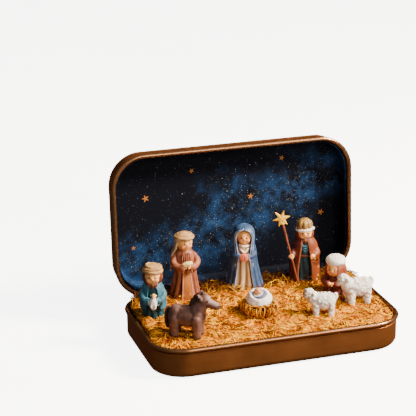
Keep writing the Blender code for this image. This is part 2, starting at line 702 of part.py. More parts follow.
def build_shepherd():
    body = standing("shepherd", SHEPHERD_AT, SHEPHERD_TURN)
    height, hem, shoulder, head = SHEPHERD_ROBE_HEIGHT, SHEPHERD_HEM, SHEPHERD_SHOULDER, SHEPHERD_HEAD
    gown = robe(robe_stations(height, hem, shoulder), folds=5, fold_depth=0.05)
    face_z = height + head * 0.86
    face_at = (0.0, -0.25 * head, face_z)
    face = ball(face_at, (head * 0.95, head * 0.95, head * 1.08))
    hair = ball((0.0, 0.12 * head, face_z - head * 0.08), (head * 1.2, head * 1.1, head * 1.2))
    opening = ball((0.0, -1.25 * head, face_z + head * 0.22), (head * 0.80, head, head * 0.72))
    cloak_line = [
        (height * 0.30, shoulder * 1.24 + SHEPHERD_CLOAK, shoulder * 1.02 + SHEPHERD_CLOAK, 0.0),
        (height * 0.36, shoulder * 1.26 + SHEPHERD_CLOAK, shoulder * 1.04 + SHEPHERD_CLOAK, 0.0),
        (height * 0.60, shoulder * 1.14 + SHEPHERD_CLOAK, shoulder * 0.96 + SHEPHERD_CLOAK, 0.0),
        (height * 0.85, shoulder + SHEPHERD_CLOAK, shoulder * 0.85 + SHEPHERD_CLOAK, 0.0),
        (height * 0.97, shoulder * 0.75 + SHEPHERD_CLOAK, shoulder * 0.65 + SHEPHERD_CLOAK, 0.0),
    ]
    wrap = robe(cloak_line, folds=6, fold_depth=0.04)
    front = robe([
        (-height * 0.2, hem * 0.60, hem * 0.9, hem),
        (height * 0.6, shoulder * 0.62, shoulder * 0.9, shoulder),
        (height * 1.3, shoulder * 0.22, shoulder * 0.9, shoulder)])
    wrist = (head * 0.42, -shoulder * 1.22, height * 0.56)
    sleeve_left, sleeve_right, hands = arms(shoulder * 0.98, height * 0.80, wrist, head * 0.36, head * 0.36)
    piece("shepherd_robe", gown, "teal_clay", body)
    cut(bpy.data.objects["shepherd_robe"], face, hair)
    build_head("shepherd_head", face, face_at, head, "skin_clay", body)
    beard = piece("shepherd_hair_and_beard", hair, "hair_clay", body)
    cut(beard, face)
    cut(beard, opening, grow=0.0)
    hat = piece("shepherd_turban", turban(head, face_z, SHEPHERD_COIL), "cream_clay", body)
    cut(hat, face, hair)
    cape = piece("shepherd_cloak", wrap, "blue_clay", body)
    cut(cape, gown, hair, face)
    cut(cape, front, grow=0.0)
    cut(cape, sleeve_left, sleeve_right)
    reach = piece("shepherd_sleeves", sleeve_left, "blue_clay", body)
    join(reach, sleeve_right, hands)
    cut(reach, gown)
    lamb = CARRIED_LAMB_LENGTH
    lift = wrist[2] - head * 0.2
    fleece = ball((0.0, wrist[1] - lamb * 0.17, lift), (lamb * 0.24, lamb * 0.22, lamb * 0.44), tilt=-8.0)
    carried = piece("carried_lamb", fleece, "white_clay", body)
    poll_at = (lamb * 0.06, wrist[1] - lamb * 0.22, lift + lamb * 0.50)
    join(carried, ball(poll_at, (lamb * 0.17, lamb * 0.2, lamb * 0.17)))
    cut(carried, gown, sleeve_left, sleeve_right, hands)


def turban(head, face_z, coil):
    """Two coils of rolled cloth round the head with a low crown over them."""
    low = face_z + head * 0.66
    profile = [
        (0.0, low + coil * 2.3), (head * 0.62, low + coil * 2.05), (head * 0.98, low + coil * 1.45),
        (head * 0.94, low + coil * 0.95), (head * 1.18, low + coil * 0.55), (head * 1.22, low),
        (head * 1.02, low - coil * 0.55), (0.0, low - coil * 0.55)]
    return turned(profile, sides=HAT_SIDES, depth_ratio=0.96)


def rolled_band(reach, roll, height):
    """A roll of cloth closed to a level ring round the head."""
    outline = []
    for step in range(RING_STEPS):
        angle = -2.0 * math.pi * step / RING_STEPS
        outline.append((reach + roll * math.cos(angle), height + roll * math.sin(angle)))
    return turned(outline, sides=HAT_SIDES, closed=True)


def build_traveller():
    body = standing("traveller", TRAVELLER_AT, TRAVELLER_TURN)
    height, hem, shoulder, head = TRAVELLER_ROBE_HEIGHT, TRAVELLER_HEM, TRAVELLER_SHOULDER, TRAVELLER_HEAD
    gown = robe(robe_stations(height, hem, shoulder, depth_ratio=0.8), folds=6, fold_depth=0.05)
    face_z = height + head * 0.84
    face_at = (0.0, -0.2 * head, face_z)
    face = ball(face_at, (head * 0.95, head * 0.95, head * 1.1))
    veil_line = [
        (height * 0.56, shoulder * 1.08 + TRAVELLER_VEIL, shoulder * 0.92 + TRAVELLER_VEIL, -VEIL_HANG),
        (height * 0.90, shoulder * 0.94 + TRAVELLER_VEIL, shoulder * 0.80 + TRAVELLER_VEIL, -VEIL_HANG * 0.8),
        (height + head * 0.2, head * 0.92 + TRAVELLER_VEIL, head * 0.98 + TRAVELLER_VEIL, 0.0),
        (face_z + head * 0.55, head * 0.88 + TRAVELLER_VEIL, head * 0.94 + TRAVELLER_VEIL, 0.0),
        (face_z + head * 1.02, head * 0.60 + TRAVELLER_VEIL, head * 0.62 + TRAVELLER_VEIL, 0.0),
        (face_z + head * 1.28, head * 0.20 + TRAVELLER_VEIL, head * 0.20 + TRAVELLER_VEIL, 0.0),
    ]
    veil = robe(veil_line)
    window = ball((0.0, -head * 1.35, face_z - head * 0.05), (head * 0.86, head * 1.05, head * 1.02))
    breast = robe([
        (height * 0.5, shoulder * 1.25, shoulder * 0.9, shoulder * 1.1),
        (height * 1.12, head * 0.62, shoulder * 0.9, shoulder * 1.1)])
    below, above = height * 0.5, face_z + head * 0.5
    left_side = block((shoulder * 1.5, -shoulder * 0.5, (below + above) / 2.0),
                      (shoulder * 1.5, shoulder * 2.0, above - below))
    band = rolled_band(head * 1.04, TRAVELLER_ROLL, face_z + head * 0.74)
    wrist = (head * 0.45, -shoulder * 1.12, height * 0.70)
    sleeve_left, sleeve_right, hands = arms(shoulder * 0.96, height * 0.84, wrist, head * 0.42, head * 0.34)
    gown_piece = piece("traveller_robe", gown, "rose_brown_clay", body)
    cut(gown_piece, face)
    build_head("traveller_head", face, face_at, head, "skin_clay", body)
    hood = piece("traveller_veil", veil, "cream_clay", body)
    cut(hood, gown, face)
    cut(hood, window, breast, left_side, grow=0.0)
    cut(hood, band, sleeve_left, sleeve_right)
    rim = piece("traveller_headband", band, "cream_clay", body)
    cut(rim, face)
    panel_line = [(share * height, half * 0.40, half * 0.80 + TRAVELLER_PANEL, 0.0) for share, half in (
        (0.02, hem * 1.02), (0.30, shoulder + (hem - shoulder) * 0.62), (0.60, shoulder * 1.02))]
    apron = robe(panel_line)
    back_half = block((0.0, hem, height / 2.0), (4.0 * hem, 2.0 * hem, 2.0 * height))
    front_panel = piece("traveller_front_panel", apron, "ochre_clay", body)
    cut(front_panel, gown)
    cut(front_panel, back_half, grow=0.0)
    cut(front_panel, sleeve_left, sleeve_right, hands)
    reach = piece("traveller_sleeves", sleeve_left, "rose_brown_clay", body)
    join(reach, sleeve_right, hands)
    cut(reach, gown)
    bundle = BUNDLE_LENGTH
    load = ball((0.0, wrist[1] - bundle * 0.14, wrist[2] + bundle * 0.30),
                (bundle * 0.5, bundle * 0.26, bundle * 0.24), tilt=-12.0, tilt_axis="Y")
    parcel = piece("traveller_bundle", load, "cream_clay", body)
    cut(parcel, gown, sleeve_left, sleeve_right, hands)


def build_mother():
    body = standing("mother", MOTHER_AT, MOTHER_TURN)
    height, hem, shoulder, head = MOTHER_DRESS_HEIGHT, MOTHER_HEM, MOTHER_SHOULDER, MOTHER_HEAD
    gown = robe(robe_stations(height, hem, shoulder, depth_ratio=0.78), folds=7, fold_depth=0.05)
    face_z = height + head * 0.88
    face_at = (0.0, -0.2 * head, face_z)
    face = ball(face_at, (head * 0.95, head * 0.95, head * 1.1))
    hair = ball((0.0, 0.0, face_z + head * 0.12),
                (head * 0.95 + MOTHER_HAIR, head * 0.95 + MOTHER_HAIR, head * 1.06 + MOTHER_HAIR), sides=12)
    brow = ball((0.0, -head * 1.3, face_z - head * 0.12), (head * 0.78, head * 1.05, head * 1.05))
    cape = MOTHER_MANTLE
    over_hair = MOTHER_HAIR + cape * 0.7
    mantle_line = [
        (0.0, hem * 1.10 + cape, hem * 0.74 + cape * 0.6, 0.0),
        (height * 0.05, hem * 1.14 + cape, hem * 0.78 + cape * 0.6, 0.0),
        (height * 0.35, hem * 0.86 + cape, hem * 0.64 + cape * 0.6, 0.0),
        (height * 0.62, shoulder * 1.14 + cape, shoulder * 0.84 + cape, 0.0),
        (height * 0.84, shoulder * 1.08 + cape, shoulder * 0.82 + cape, 0.0),
        (height * 0.98, head * 0.95 + cape, head * 0.95 + cape, -0.02 * head),
        (face_z, head + over_hair, head + over_hair, -0.05 * head),
        (face_z + head * 0.75, head * 0.80 + over_hair, head * 0.82 + over_hair, 0.0),
        (face_z + head * 1.10 + over_hair * 0.4, head * 0.48 + over_hair, head * 0.50 + over_hair, 0.0),
        (face_z + head * 1.22 + over_hair, head * 0.14 + over_hair, head * 0.14 + over_hair, 0.0),
    ]
    mantle = robe(mantle_line, folds=8, fold_depth=0.045)
    window = ball((0.0, -head * 1.5, face_z - head * 0.05), (head * 0.98, head * 1.25, head * 1.12))
    parting = robe([
        (-height * 0.1, hem * 0.62, hem * 0.9, hem * 1.05),
        (height * 0.5, shoulder * 0.66, shoulder, shoulder * 1.15),
        (height * 0.98, head * 0.40, head, head * 1.2)])
    wrist = (head * 0.34, -shoulder * 1.10, height * 0.755)
    sleeve_left, sleeve_right, hands = arms(shoulder, height * 0.82, wrist, head * 0.40, head * 0.56)
    dress = piece("mother_dress", gown, "cream_clay", body)
    cut(dress, face, hair)
    build_head("mother_head", face, face_at, head, "skin_clay", body)
    locks = piece("mother_hair", hair, "yellow_hair_clay", body)
    cut(locks, face)
    cut(locks, brow, grow=0.0)
    cloak = piece("mother_mantle", mantle, "mantle_clay", body)
    cut(cloak, gown, face, hair)
    cut(cloak, window, parting, grow=0.0)
    cut(cloak, sleeve_left, sleeve_right, hands)
    for side, sleeve in (("right", sleeve_left), ("left", sleeve_right)):
        reach = piece("mother_" + side + "_sleeve", sleeve, "mantle_clay", body)
        cut(reach, gown)
    clasp = piece("mother_hands", hands, "coral_clay", body)
    cut(clasp, gown, sleeve_left, sleeve_right)


def build_king():
    body = standing("king", KING_AT, KING_TURN)
    height, hem, shoulder, head = KING_TUNIC_HEIGHT, KING_HEM, KING_SHOULDER, KING_HEAD
    gown = robe(robe_stations(height, hem, shoulder, depth_ratio=0.86), folds=5, fold_depth=0.04)
    face_z = height + head * 0.84
    face_at = (0.0, -0.22 * head, face_z)
    face = ball(face_at, (head * 0.95, head * 0.95, head * 1.05))
    hair = ball((0.0, 0.1 * head, face_z - head * 0.16), (head * 1.18, head * 1.08, head * 1.22))
    opening = ball((0.0, -1.22 * head, face_z + head * 0.28), (head * 0.76, head, head * 0.66))
    coat = KING_COAT
    coat_line = [
        (0.0, hem * 0.98 + coat, hem * 0.84 + coat * 0.5, 0.0),
        (height * 0.06, hem * 1.04 + coat, hem * 0.88 + coat * 0.5, 0.0),
        (height * 0.40, hem * 1.02 + coat, hem * 0.86 + coat * 0.5, 0.0),
        (height * 0.66, shoulder * 1.10 + coat, shoulder * 0.92 + coat * 0.5, 0.0),
        (height * 0.86, shoulder * 0.92 + coat, shoulder * 0.84 + coat * 0.5, 0.0),
        (height * 0.97, shoulder * 0.55 + coat, shoulder * 0.6 + coat * 0.5, 0.0),
    ]
    mantle = robe(coat_line, folds=6, fold_depth=0.04)
    parting = robe([
        (-height * 0.1, hem * 0.66, hem, hem * 1.15),
        (height * 0.7, shoulder * 0.52, shoulder, shoulder * 1.2),
        (height * 1.2, shoulder * 0.3, shoulder, shoulder * 1.2)])
    hand_y = -shoulder * 1.15
    hand_z = height * 0.66
    right_x = -(shoulder + coat) * 1.12
    left_x = (shoulder + coat) * 0.58
    thick = [coat * 0.95, coat * 0.95, coat * 0.7]
    right_arm = [(-shoulder * 0.95, 0.0, height * 0.82), (-shoulder * 1.35, hand_y * 0.5, height * 0.70),
                 (right_x + KING_HAND * 0.3, hand_y * 0.86, hand_z)]
    left_arm = [(shoulder * 0.95, 0.0, height * 0.82), (shoulder * 1.3, hand_y * 0.45, height * 0.68),
                (left_x + KING_HAND * 0.6, hand_y * 0.82, hand_z)]
    right_sleeve = tube(right_arm, thick)
    left_sleeve = tube(left_arm, thick)
    right_hand = ball((right_x, hand_y * 1.08, hand_z), (KING_HAND, KING_HAND, KING_HAND), sides=10, rings=6)
    left_hand = ball((left_x, hand_y * 1.16, hand_z), (KING_HAND, KING_HAND, KING_HAND), sides=10, rings=6)
    lean = math.radians(STAFF_LEAN)
    grip = Vector((right_x, hand_y * 1.08, hand_z))
    along = Vector((-math.sin(lean), 0.0, math.cos(lean)))
    foot = grip - along * (hand_z - GAP) / math.cos(lean)
    tip = foot + along * STAFF_LENGTH
    shaft = rod(foot, tip, STAFF_RADIUS * 0.9, STAFF_RADIUS)
    tunic = piece("king_tunic", gown, "teal_clay", body)
    cut(tunic, face, hair)
    build_head("king_head", face, face_at, head, "skin_clay", body)
    beard = piece("king_hair_and_beard", hair, "hair_clay", body)
    cut(beard, face)
    cut(beard, opening, grow=0.0)
    outer = piece("king_coat", mantle, "terracotta_clay", body)
    cut(outer, parting, grow=0.0)
    join(outer, right_sleeve, left_sleeve)
    cut(outer, gown, hair, face, right_hand, left_hand, shaft)
    cap_low = face_z + head * 0.42
    dome_line = [(cap_low + CROWN_HEIGHT * share, head * half, head * half, 0.0) for share, half in (
        (0.0, 0.98), (0.36, 1.02), (0.68, 0.88), (0.91, 0.52), (1.0, 0.14))]
    cap = robe(dome_line, folds=CROWN_RIBS, fold_depth=CROWN_RIB_DEPTH, sides=4 * CROWN_RIBS, fade=0.0)
    band = rolled_band(head * 1.04, HEADBAND_RADIUS, cap_low)
    crown = piece("king_crown", cap, "gold_clay", body)
    cut(crown, face, hair, band)
    rim = piece("king_headband", band, "white_clay", body)
    cut(rim, face, hair)
    fist = piece("king_right_hand", right_hand, "skin_clay", body)
    cut(fist, shaft, gown)
    palm = piece("king_left_hand", left_hand, "skin_clay", body)
    cut(palm, gown)
    piece("king_staff", shaft, "staff_clay", body)
    build_star(body, tip + along * (STAR_RADIUS * 0.52 + GAP))


def build_star(body, centre):
    """A six-pointed star cut from a flat sheet of clay, on the top of the staff."""
    outline = bpy.data.curves.new("star", "CURVE")
    outline.dimensions = "2D"
    outline.fill_mode = "BOTH"
    outline.extrude = STAR_THICKNESS / 2.0
    spline = outline.splines.new("POLY")
    spline.points.add(11)
    spline.use_cyclic_u = True
    for i, knot in enumerate(spline.points):
        reach = STAR_RADIUS if i % 2 == 0 else STAR_RADIUS * 0.5
        angle = math.radians(STAFF_LEAN + 30.0 * i + 60.0)
        knot.co = (reach * math.cos(angle), reach * math.sin(angle), 0.0, 1.0)

    def build(grow):
        mesh = evaluated_mesh(bpy.data.objects.new("star", outline))
        upright = Matrix.Rotation(math.radians(90.0), 4, "X")
        mesh.transform(Matrix.Translation(centre) @ upright)
        return mesh

    piece("king_star", build, "ochre_clay", body)


def build_kneeler():
    body = standing("kneeler", KNEELER_AT, KNEELER_TURN)
    height, hem, shoulder, head = KNEELER_ROBE_HEIGHT, KNEELER_HEM, KNEELER_SHOULDER, KNEELER_HEAD
    gown = robe(robe_stations(height, hem, shoulder, depth_ratio=0.92), folds=5, fold_depth=0.04)
    face_z = height + head * 0.60
    face_at = (0.0, -0.35 * head, face_z)
    face = ball(face_at, (head * 0.95, head * 0.95, head * 1.0))
    drape = KNEELER_SCARF
    scarf_line = [
        (height * 0.62, shoulder * 1.04 + drape, shoulder * 0.98 + drape, 0.0),
        (height * 0.86, shoulder * 0.98 + drape, shoulder * 0.92 + drape, 0.0),
        (height + head * 0.3, head + drape, head + drape, 0.0),
        (face_z + head * 0.55, head * 0.8 + drape, head * 0.8 + drape, 0.0),
    ]
    scarf = robe(scarf_line)
    window = ball((0.0, -head * 1.5, face_z), (head * 0.9, head * 1.2, head * 1.15))
    breast = robe([
        (height * 0.3, shoulder * 1.1, shoulder * 0.9, shoulder * 1.2),
        (height * 1.2, head * 0.6, shoulder * 0.9, shoulder * 1.2)])
    wool = ball((0.0, 0.0, face_z + head * 0.98), (KNEELER_CAP, KNEELER_CAP * 0.96, KNEELER_CAP * 0.62))
    wrist = (head * 0.35, -shoulder * 1.35, height * 0.62)
    sleeve_left, sleeve_right, hands = arms(shoulder * 0.95, height * 0.80, wrist, head * 0.38, head * 0.34)
    gown_piece = piece("kneeler_robe", gown, "wine_clay", body)
    cut(gown_piece, face)
    build_head("kneeler_head", face, face_at, head, "skin_clay", body)
    hood = piece("kneeler_scarf", scarf, "coral_clay", body)
    cut(hood, gown, face, wool)
    cut(hood, window, breast, grow=0.0)
    cut(hood, sleeve_left, sleeve_right)
    cap = piece("kneeler_woolly_cap", wool, "white_clay", body)
    cut(cap, face)
    reach = piece("kneeler_sleeves", sleeve_left, "wine_clay", body)
    join(reach, sleeve_right, hands)
    cut(reach, gown)


def build_manger():
    body = standing("manger", MANGER_AT, MANGER_TURN)
    radius, height = BASKET_RADIUS, BASKET_HEIGHT
    bowl_line = [(height * share, radius * half, radius * half * 0.94, 0.0) for share, half in (
        (0.0, 0.58), (0.22, 0.82), (0.55, 0.96), (0.82, 0.94), (1.0, 0.84))]
    bowl = robe(bowl_line, folds=BASKET_RIBS, fold_depth=BASKET_RIB_DEPTH, sides=2 * BASKET_RIBS, fade=0.0)
    quilt_z = height * 1.12
    pad = ball((0.0, 0.0, quilt_z), (QUILT_RADIUS, QUILT_RADIUS * 0.92, QUILT_RADIUS * 0.52),
               sides=16, tilt=QUILT_TILT)
    lean = math.radians(QUILT_TILT)
    top = Vector((0.0, -math.sin(lean), math.cos(lean)))
    hollow_at = Vector((0.0, 0.0, quilt_z)) + top * QUILT_RADIUS * 0.52
    swaddle = ball(hollow_at, (QUILT_RADIUS * 0.52, QUILT_RADIUS * 0.50, QUILT_RADIUS * 0.18),
                   tilt=QUILT_TILT)
    head_at = hollow_at + top * INFANT_HEAD * 0.45 + Vector((0.0, 0.12 * QUILT_RADIUS, 0.0))
    face = ball(head_at, (INFANT_HEAD * 1.06, INFANT_HEAD, INFANT_HEAD * 0.95))
    basket = piece("manger_basket", bowl, "straw", body)
    cut(basket, pad)
    quilt = piece("manger_quilt", pad, "white_clay", body)
    cut(quilt, swaddle, face)
    wrap = piece("infant_swaddle", swaddle, "mantle_clay", body)
    cut(wrap, face)
    piece("infant_head", face, "pale_skin_clay", body)


def build_lamb(name, place, turn, length, head_turn):
    """A woolly lamb facing +X, with its bare face a separate lump."""
    body = standing(name, place, turn)
    barrel_z = length * 0.48
    legs = []
    for x in (-0.22, 0.20):
        for y in (-0.12, 0.12):
            legs.append(rod((x * length, y * length, 0.0), (x * length, y * length, barrel_z),
                            length * 0.075, length * 0.10, sides=6))
    side = math.sin(math.radians(head_turn))
    ahead = math.cos(math.radians(head_turn))
    head_at = Vector((length * 0.38, 0.0, length * 0.72))
    neck = ball((length * 0.28, 0.0, length * 0.58), (length * 0.17, length * 0.17, length * 0.20),
                sides=8, rings=6)
    poll = ball(head_at, (length * 0.145, length * 0.145, length * 0.14), sides=8, rings=6)
    tail = ball((-length * 0.34, 0.0, length * 0.60), (length * 0.08, length * 0.075, length * 0.12),
                sides=6, rings=5)
    ears = []
    for y in (-1.0, 1.0):
        spot = head_at + Vector((-side * y * 0.13, ahead * y * 0.13, 0.02)) * length
        ears.append(ball(spot, (length * 0.04, length * 0.065, length * 0.05), sides=6, rings=4))
    barrel = ball((0.0, 0.0, barrel_z), (length * 0.37, length * 0.25, length * 0.25))
    fleece = piece(name + "_fleece", barrel, "white_clay", body)
    join(fleece, *legs, neck, poll, tail, *ears)
    muzzle_at = head_at + Vector((ahead * 0.10, side * 0.10, -0.045)) * length
    face = ball(muzzle_at, (length * 0.10, length * 0.09, length * 0.095), sides=8, rings=6)
    cut(fleece, face)
    piece(name + "_face", face, "muzzle_clay", body)


def build_donkey():
    body = standing("donkey", DONKEY_AT, DONKEY_TURN)
    length, leg = DONKEY_LENGTH, DONKEY_LEG_RADIUS
    barrel_z = length * 0.485
    belly = ball((-length * 0.07, 0.0, barrel_z), (length * 0.38, length * 0.23, length * 0.248))
    rump_at = (-length * 0.27, 0.0, barrel_z + length * 0.01)
    rump = ball(rump_at, (length * 0.20, length * 0.22, length * 0.25))
    chest_at = (length * 0.19, 0.0, barrel_z + length * 0.03)
    chest = ball(chest_at, (length * 0.18, length * 0.205, length * 0.235))
    neck_top = Vector((length * 0.31, 0.0, length * 0.85))
    neck = rod((length * 0.17, 0.0, length * 0.55), neck_top, length * 0.17, length * 0.12, sides=10)
    legs = []
    thigh = leg * 1.2
    spread = thigh + GAP / 2.0
    for x in (-0.31, 0.19):
        for y in (-spread, spread):
            legs.append(rod((x * length, y, 0.0), (x * length * 0.96, y, barrel_z), leg, thigh))
    barrel = piece("donkey_body", belly, "donkey_clay", body)
    join(barrel, rump, chest, neck, *legs)
    muzzle_at = neck_top + Vector((length * 0.28, 0.0, -length * 0.09))
    skull_at = neck_top + Vector((length * 0.02, 0.0, length * 0.02))
    skull = ball(skull_at, (length * 0.15, length * 0.135, length * 0.145))
    nose = rod(neck_top, muzzle_at, length * 0.13, length * 0.08, sides=10)
    tip = ball(muzzle_at, (length * 0.09, length * 0.088, length * 0.085), rings=6)
    ears = []
    for y in (-1.0, 1.0):
        root = neck_top + Vector((-length * 0.06, y * length * 0.11, length * 0.10))
        ears.append(ball(root, (length * 0.04, length * 0.06, length * 0.10), sides=8, rings=6, tilt=-30.0,
                         tilt_axis="Y"))
    head = piece("donkey_head", skull, "donkey_clay", body)
    join(head, nose, tip, *ears)
    cut(barrel, skull, nose)
    crest = [(length * 0.00, 0.0, length * 0.72), (length * 0.07, 0.0, length * 0.82),
             (length * 0.13, 0.0, length * 0.92), (length * 0.21, 0.0, length * 1.00)]
    hair = tube(crest, [length * 0.06, length * 0.075, length * 0.075, length * 0.055])
    mane = piece("donkey_mane", hair, "mane_clay", body)
    cut(mane, neck, chest, belly, skull, *ears)
    hang = [(-length * 0.45, 0.0, barrel_z + length * 0.14), (-length * 0.50, 0.0, barrel_z - length * 0.04),
            (-length * 0.48, 0.0, barrel_z - length * 0.24)]
    tail = piece("donkey_tail", tube(hang, [length * 0.04, length * 0.05, length * 0.06]), "mane_clay", body)
    cut(tail, rump, *legs)


build_base()
build_straw([
    (SHEPHERD_AT, SHEPHERD_TURN, SHEPHERD_HEM * 1.1 + FOOT_PLAY, SHEPHERD_HEM * 0.92 + FOOT_PLAY),
    (TRAVELLER_AT, TRAVELLER_TURN, TRAVELLER_HEM * 1.1 + FOOT_PLAY, TRAVELLER_HEM * 0.9 + FOOT_PLAY),
    (MOTHER_AT, MOTHER_TURN, MOTHER_HEM * 1.2 + MOTHER_MANTLE + FOOT_PLAY,
     MOTHER_HEM * 0.86 + MOTHER_MANTLE * 0.6 + FOOT_PLAY),
    (KING_AT, KING_TURN, KING_HEM * 1.1 + KING_COAT + FOOT_PLAY, KING_HEM * 0.95 + KING_COAT + FOOT_PLAY),
    (KNEELER_AT, KNEELER_TURN, KNEELER_HEM * 1.1 + FOOT_PLAY, KNEELER_HEM * 1.0 + FOOT_PLAY),
    (MANGER_AT, MANGER_TURN, BASKET_RADIUS + FOOT_PLAY, BASKET_RADIUS + FOOT_PLAY),
    (LAMB_FRONT_AT, LAMB_FRONT_TURN, LAMB_FRONT_LENGTH * 0.40, LAMB_FRONT_LENGTH * 0.28),
    (LAMB_BACK_AT, LAMB_BACK_TURN, LAMB_BACK_LENGTH * 0.40, LAMB_BACK_LENGTH * 0.28),
    (DONKEY_AT, DONKEY_TURN, DONKEY_LENGTH * 0.38 + DONKEY_LEG_RADIUS * 1.7, DONKEY_LEG_RADIUS * 3.5),
])
build_lid()
build_shepherd()
build_traveller()
build_mother()
build_king()
build_kneeler()
build_manger()
build_lamb("lamb_front", LAMB_FRONT_AT, LAMB_FRONT_TURN, LAMB_FRONT_LENGTH, 35.0)
build_lamb("lamb_back", LAMB_BACK_AT, LAMB_BACK_TURN, LAMB_BACK_LENGTH, 20.0)
build_donkey()
merge_flat_faces()
bpy.context.view_layer.update()
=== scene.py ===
"""The looks of a pocket nativity tin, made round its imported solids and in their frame."""

import math
import random

import bmesh
import bpy
from mathutils import Euler, Matrix, Vector, noise


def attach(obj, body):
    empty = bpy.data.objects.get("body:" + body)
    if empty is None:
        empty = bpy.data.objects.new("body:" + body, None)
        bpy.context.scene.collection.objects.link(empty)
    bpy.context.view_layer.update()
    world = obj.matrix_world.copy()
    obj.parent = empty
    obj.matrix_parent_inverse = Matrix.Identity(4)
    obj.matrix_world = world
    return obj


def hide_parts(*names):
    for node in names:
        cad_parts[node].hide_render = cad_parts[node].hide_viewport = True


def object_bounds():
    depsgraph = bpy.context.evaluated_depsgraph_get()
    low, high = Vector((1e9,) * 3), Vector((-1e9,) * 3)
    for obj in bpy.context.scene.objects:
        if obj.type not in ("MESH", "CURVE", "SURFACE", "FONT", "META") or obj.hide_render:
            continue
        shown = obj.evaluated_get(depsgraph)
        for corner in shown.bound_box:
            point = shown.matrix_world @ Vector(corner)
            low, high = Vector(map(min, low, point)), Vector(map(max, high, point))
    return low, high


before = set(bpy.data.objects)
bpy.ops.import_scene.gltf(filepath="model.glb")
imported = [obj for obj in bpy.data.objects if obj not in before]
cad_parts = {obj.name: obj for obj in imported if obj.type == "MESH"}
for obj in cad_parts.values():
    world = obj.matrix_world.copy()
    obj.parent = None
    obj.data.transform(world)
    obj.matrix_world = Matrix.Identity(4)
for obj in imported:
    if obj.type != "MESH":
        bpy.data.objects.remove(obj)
cad_low, cad_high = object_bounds()

# Camera and light. The tin is seen from the left of its front and from above, through a long lens, on a pale
# table. A small warm light is high on its right, a weaker one in front, and a faint broad one on its left.
MM = 0.001
VIEW_TURN = math.radians(-19.11)
VIEW_TILT = math.radians(21.12)
VIEW_DISTANCE = 595.68 * MM
VIEW_TARGET = Vector((0.0, 0.0, 25.0 * MM))
PHOTO_SIDE = 416.0
FOCAL_PIXELS = 1614.58
TARGET_PIXEL = (261.04, 274.67)
SENSOR = 36.0

camera = bpy.data.cameras.new("camera")
camera.sensor_width = SENSOR
camera.lens = FOCAL_PIXELS / PHOTO_SIDE * SENSOR
camera.shift_x = (PHOTO_SIDE / 2.0 - TARGET_PIXEL[0]) / PHOTO_SIDE
camera.shift_y = (TARGET_PIXEL[1] - PHOTO_SIDE / 2.0) / PHOTO_SIDE
camera.clip_start = 0.01
eye = bpy.data.objects.new("camera", camera)
back = Vector((math.sin(VIEW_TURN) * math.cos(VIEW_TILT), -math.cos(VIEW_TURN) * math.cos(VIEW_TILT),
               math.sin(VIEW_TILT)))
eye.location = VIEW_TARGET + back * VIEW_DISTANCE
eye.rotation_euler = (-back).to_track_quat("-Z", "Y").to_euler()
bpy.context.scene.collection.objects.link(eye)
bpy.context.scene.camera = eye


def soft_light(name, place, side, power, colour):
    """A square area light that faces the middle of the tin."""
    lamp = bpy.data.lights.new(name, "AREA")
    lamp.size = side
    lamp.energy = power
    lamp.color = colour
    holder = bpy.data.objects.new(name, lamp)
    holder.location = place
    holder.rotation_euler = (Vector(place) - VIEW_TARGET).to_track_quat("Z", "Y").to_euler()
    bpy.context.scene.collection.objects.link(holder)


soft_light("key", (0.38, -0.19, 0.42), 0.13, 15.5, (1.0, 0.86, 0.69))
soft_light("fill", (-0.5, -0.6, 0.4), 0.6, 0.35, (0.96, 0.97, 1.0))
soft_light("front", (0.24, -0.68, 0.34), 0.4, 4.9, (1.0, 0.88, 0.74))

world = bpy.data.worlds.new("studio")
world.use_nodes = True
world.node_tree.nodes["Background"].inputs["Color"].default_value = (1.0, 1.0, 1.0, 1.0)
world.node_tree.nodes["Background"].inputs["Strength"].default_value = 0.12
bpy.context.scene.world = world


class Wire:
    """A node's output, on which sums are written as plain Python expressions."""

    def __init__(self, tree, socket):
        self.tree = tree
        self.socket = socket

    def __add__(self, other):
        return maths(self.tree, "ADD", self, other)

    def __radd__(self, other):
        return maths(self.tree, "ADD", other, self)

    def __sub__(self, other):
        return maths(self.tree, "SUBTRACT", self, other)

    def __rsub__(self, other):
        return maths(self.tree, "SUBTRACT", other, self)

    def __mul__(self, other):
        return maths(self.tree, "MULTIPLY", self, other)

    def __rmul__(self, other):
        return maths(self.tree, "MULTIPLY", other, self)

    def __truediv__(self, other):
        return maths(self.tree, "DIVIDE", self, other)

    def __pow__(self, other):
        return maths(self.tree, "POWER", self, other)


def plug(tree, slot, value):
    """Feed a socket with a link or with a fixed value."""
    if isinstance(value, Wire):
        tree.links.new(value.socket, slot)
    else:
        slot.default_value = value


def add(tree, kind, sockets=None, out=0, stops=(), **settings):
    """One node: its settings first, then what its sockets hold. Gives back one of its outputs."""
    made = tree.nodes.new(kind)
    for name, value in settings.items():
        setattr(made, name, value)
    if stops:
        while len(made.color_ramp.elements) < len(stops):
            made.color_ramp.elements.new(0.5)
        for element, (place, colour) in zip(made.color_ramp.elements, stops):
            element.position = place
            element.color = (*colour, 1.0)
    for name, value in (sockets or {}).items():
        plug(tree, made.inputs[name], value)
    return Wire(tree, made.outputs[out])


def maths(tree, operation, *values):
    return add(tree, "ShaderNodeMath", dict(enumerate(values)), operation=operation)


def mixed(tree, share, first, second):
    """One colour turning into another as the share goes from 0 to 1."""
    first, second = [value if isinstance(value, Wire) else (*value, 1.0) for value in (first, second)]
    return add(tree, "ShaderNodeMix", {0: share, 6: first, 7: second}, out=2, data_type="RGBA")


def cloud(tree, spot, size, detail=3.0, roughness=0.5):
    """Soft noise with lumps of a real size."""
    return add(tree, "ShaderNodeTexNoise",
               {"Vector": spot, "Scale": 1.0 / size, "Detail": detail, "Roughness": roughness})


